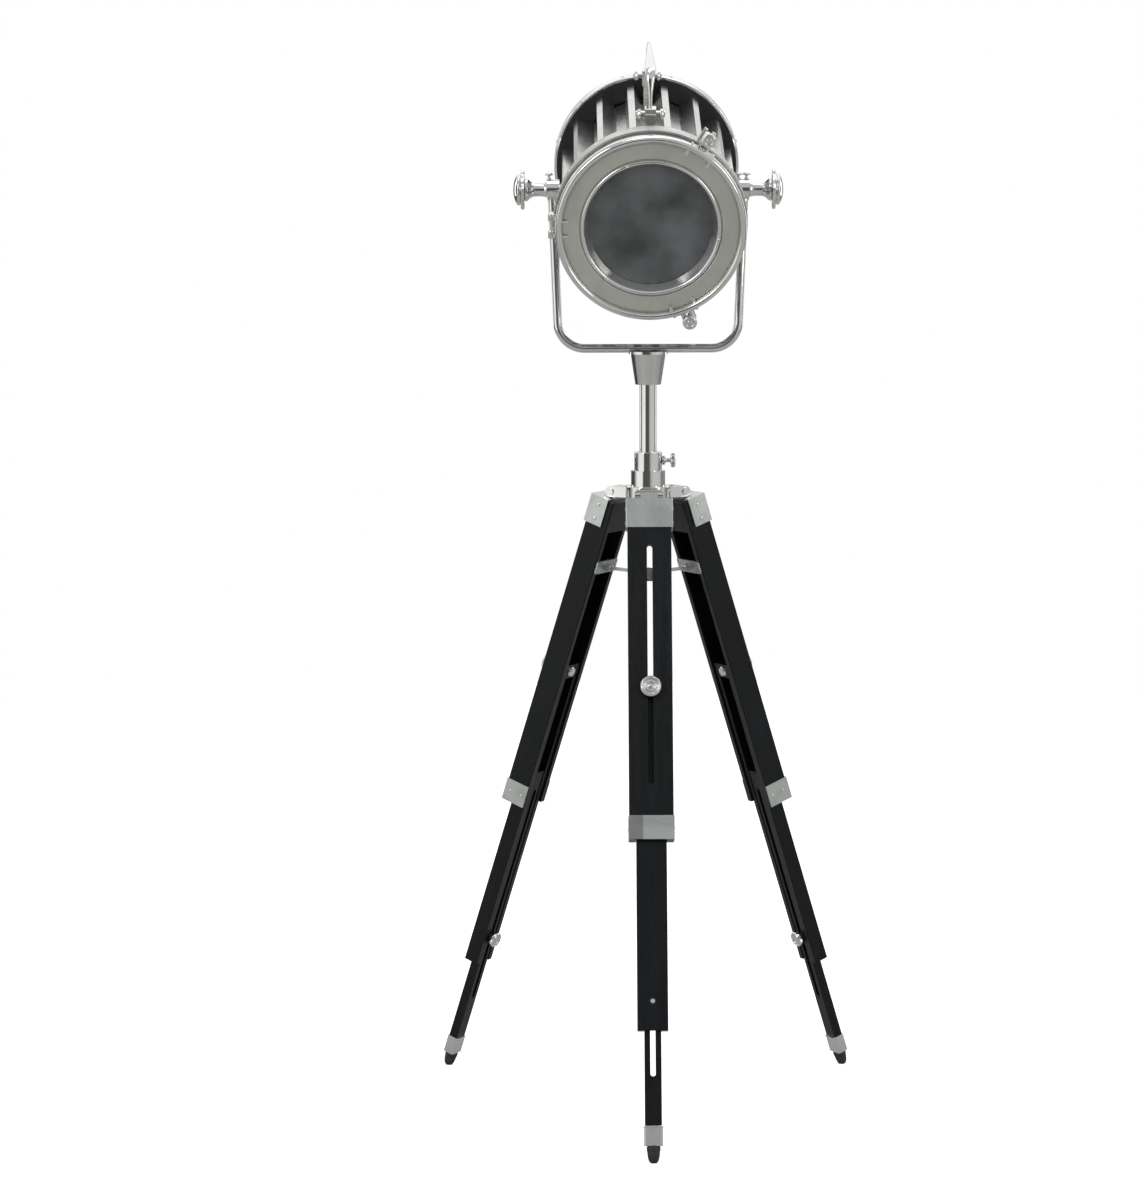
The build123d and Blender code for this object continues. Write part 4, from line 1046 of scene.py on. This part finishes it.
class LAMP_OT_handle(bpy.types.Operator):
    """Carrying handle: a leaf-wide oval bar carried along its arch"""

    bl_idname = "lamp.handle"
    bl_label = "Handle"

    def execute(self, context):
        head = head_place()
        corners = (
            (104.5, 154), (100.5, 176), (92, 203.5), (-25, 217.2), (-79, 196), (-98.5, 154)
        )
        line = rounded(corners, (0, 16, 26, 40, 30, 0), 12)
        lengths = np.linalg.norm(np.diff(line, axis=0), axis=1)
        steps = np.concatenate(([0], np.cumsum(lengths)))
        even = np.linspace(0, steps[-1], HANDLE_STATIONS)
        forward = np.interp(even, steps, line[:, 0])
        lift = np.interp(even, steps, line[:, 1])
        slope = np.stack((np.gradient(forward), np.gradient(lift)), axis=1)
        slope /= np.linalg.norm(slope, axis=1)[:, None]
        stations = (-98.5, -79, -25, 19, 49, 79, 90, 96.5, 101, 104.5)
        widths = (5.2, 5.0, 4.4, 9.0, 13.2, 17.0, 15.4, 10.0, 5.2, 4.8)
        width = np.interp(forward, stations, widths)
        width = np.convolve(np.pad(width, 3, mode="edge"), np.ones(7) / 7, mode="valid")
        thickness = np.interp(width, (4.4, 17.0), (5.6, 8.6))
        turn = np.linspace(0, 2 * math.pi, HANDLE_SIDES, endpoint=False)
        x = width[:, None] / 2 * np.cos(turn)
        out = thickness[:, None] / 2 * np.sin(turn)
        y = lift[:, None] + out * slope[:, :1]
        z = forward[:, None] - out * slope[:, 1:]
        first, last = (head.point(0, lift[end], forward[end]) for end in (0, -1))
        shape = closed(head.point(x, y, z), first, last)
        handle = mesh_piece("carrying_handle", *shape, "head", 45)
        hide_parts("handle")
        nut = rounded(
            ((0, 0), (7.4, 0), (7.8, 1.2), (7.0, 3.4), (5.2, 6.2), (0, 7.6)),
            (0, 0.5, 1.0, 1.0, 2.5, 0),
        )
        nuts = []
        for station in (104.0, -98.0):
            for hand in (-1, 1):
                seat = head.at(hand * 14.0, 146.0, station, head.along, hand * head.across)
                nuts.append(lathe(seat, nut, 36))
        mesh_piece("handle_nuts", *joined(nuts), "head", 40)
        return {"FINISHED"}


class LAMP_OT_stage(bpy.types.Operator):
    """Pale floor, soft studio light and the camera"""

    bl_idname = "lamp.stage"
    bl_label = "Stage"

    def execute(self, context):
        stage = context.scene.lamp_stage
        mast = mast_place().origin
        self.floor(mast)
        self.light(mast)
        self.camera(mast, stage)
        view = context.scene.view_settings
        view.view_transform = "Standard"
        view.look = "None"
        return {"FINISHED"}

    def floor(self, mast):
        """A wide pale disc under the feet."""
        place = Place((mast[0], mast[1], 0), (1, 0, 0), (0, 0, 1))
        ring = np.linspace(0, 1, 12)[:, None] ** 2
        turn = np.linspace(0, 2 * math.pi, 96, endpoint=False)[None, :]
        x, y = FLOOR_RADIUS * ring * np.cos(turn), FLOOR_RADIUS * ring * np.sin(turn)
        points = place.point(x, y, 0 * x).reshape(-1, 3)
        mesh = bpy.data.meshes.new("studio_floor")
        mesh.from_pydata(points.tolist(), [], grid_faces(12, 96).tolist())
        floor = new_object("studio_floor", mesh)
        tree, shader, vector = start_material("Studio Floor")
        mottle = add_noise(tree, vector, 0.7, 3.0, 0.5)
        tone = add_mix(tree, mottle, (0.45, 0.45, 0.44), (0.50, 0.50, 0.49))
        ray = tree.nodes.new("ShaderNodeLightPath").outputs["Is Camera Ray"]
        tone = add_mix(tree, ray, tone, (0.92, 0.92, 0.92))
        tree.links.new(tone, shader.inputs["Base Color"])
        shader.inputs["Roughness"].default_value = 0.9
        shader.inputs["Specular IOR Level"].default_value = 0.1
        glow = add_mix(tree, ray, (0, 0, 0), (1, 1, 1))
        tree.links.new(glow, shader.inputs["Emission Color"])
        shader.inputs["Emission Strength"].default_value = 0.6
        mesh.materials.append(finish_of("Studio Floor"))

    def light(self, mast):
        """Light and dark studio walls round the lamp, white behind it, and soft boxes."""
        world = bpy.data.worlds.new("Studio")
        bpy.context.scene.world = world
        world.use_nodes = True
        tree = world.node_tree
        back = tree.nodes["Background"]
        direction = tree.nodes.new("ShaderNodeTexCoord").outputs["Generated"]
        axes = tree.nodes.new("ShaderNodeSeparateXYZ")
        tree.links.new(direction, axes.inputs["Vector"])
        toward = add_math(tree, "MULTIPLY", axes.outputs["Y"], -1.0)
        round_way = add_math(tree, "ARCTAN2", axes.outputs["X"], toward)
        share = add_range(tree, round_way, -math.pi, math.pi, 0.0, 1.0)
        walls = tree.nodes.new("ShaderNodeValToRGB")
        tree.links.new(share, walls.inputs["Fac"])
        stops = [((degrees + 180) / 360, tone) for degrees, tone in STUDIO_WALLS]
        ramp = walls.color_ramp
        ramp.elements[0].position, ramp.elements[1].position = stops[0][0], stops[-1][0]
        for position, _ in stops[1:-1]:
            ramp.elements.new(position)
        for element, (_, tone) in zip(ramp.elements, stops):
            element.color = (tone, tone, tone, 1)
        height = add_range(tree, axes.outputs["Z"], 0.26, 0.42, 0.0, 1.0)
        behind = add_range(tree, axes.outputs["Y"], 0.35, 0.62, 0.0, 1.0)
        ceiling = add_mix(tree, behind, (0.56, 0.57, 0.59), (1.15, 1.15, 1.15))
        walls = add_mix(tree, height, walls.outputs["Color"], ceiling)
        ray = tree.nodes.new("ShaderNodeLightPath")
        tone = add_mix(tree, ray.outputs["Is Camera Ray"], walls, (1, 1, 1))
        tree.links.new(tone, back.inputs["Color"])
        aim = Vector((mast[0], mast[1], 1.0))
        for name, spot, size, power in SOFT_BOXES:
            data = bpy.data.lights.new(name, "AREA")
            data.shape = "RECTANGLE"
            data.size, data.size_y = 0.5 * size, 1.5 * size
            data.energy = power
            lamp = new_object(name, data)
            lamp.location = spot
            lamp.rotation_euler = (aim - Vector(spot)).to_track_quat("-Z", "Y").to_euler()

    def camera(self, mast, stage):
        """A long lens that looks past the lamp by the pan and tilt."""
        data = bpy.data.cameras.new("Camera")
        data.lens = stage.lens
        data.sensor_width = 36.0
        camera = new_object("Camera", data)
        aim = Vector((mast[0], mast[1], stage.aim_height))
        level = math.cos(stage.elevation)
        away = Vector(
            (
                math.sin(stage.azimuth) * level,
                -math.cos(stage.azimuth) * level,
                math.sin(stage.elevation),
            )
        )
        camera.location = aim + stage.distance * away
        straight = (-away).to_track_quat("-Z", "Y").to_matrix()
        turned = Matrix.Rotation(stage.pan, 3, "Y") @ Matrix.Rotation(-stage.tilt, 3, "X")
        camera.rotation_euler = (straight @ turned).to_euler()
        bpy.context.scene.camera = camera


class LAMP_PT_panel(bpy.types.Panel):
    """Lists the lamp's operators and settings"""

    bl_label = "Floor Lamp"
    bl_idname = "LAMP_PT_panel"
    bl_space_type = "VIEW_3D"
    bl_region_type = "UI"
    bl_category = "Lamp"

    def draw(self, context):
        scene = context.scene
        for group in (scene.lamp_finish, scene.lamp_parts, scene.lamp_stage):
            for name in group.__annotations__:
                self.layout.prop(group, name)
        for operator in OPERATORS:
            self.layout.operator(operator.bl_idname)


OPERATORS = (
    LAMP_OT_finishes,
    LAMP_OT_feet,
    LAMP_OT_leg_knobs,
    LAMP_OT_leg_fittings,
    LAMP_OT_tilt_knobs,
    LAMP_OT_thumb_screws,
    LAMP_OT_head_trim,
    LAMP_OT_door_ring,
    LAMP_OT_rear_cover,
    LAMP_OT_door_screws,
    LAMP_OT_handle,
    LAMP_OT_stage,
)
GROUPS = (LampFinishSettings, LampPartSettings, LampStageSettings)


def register():
    """Register the classes and hang the settings on the scene."""
    for item in (*GROUPS, *OPERATORS, LAMP_PT_panel):
        bpy.utils.register_class(item)
    bpy.types.Scene.lamp_finish = PointerProperty(type=LampFinishSettings)
    bpy.types.Scene.lamp_parts = PointerProperty(type=LampPartSettings)
    bpy.types.Scene.lamp_stage = PointerProperty(type=LampStageSettings)


def unregister():
    """Undo register."""
    del bpy.types.Scene.lamp_stage, bpy.types.Scene.lamp_parts, bpy.types.Scene.lamp_finish
    for item in reversed((*GROUPS, *OPERATORS, LAMP_PT_panel)):
        bpy.utils.unregister_class(item)


def main():
    """Make the lamp's looks in order."""
    register()
    for operator in OPERATORS:
        getattr(bpy.ops.lamp, operator.bl_idname.split(".")[1])()


if __name__ == "__main__":
    main()
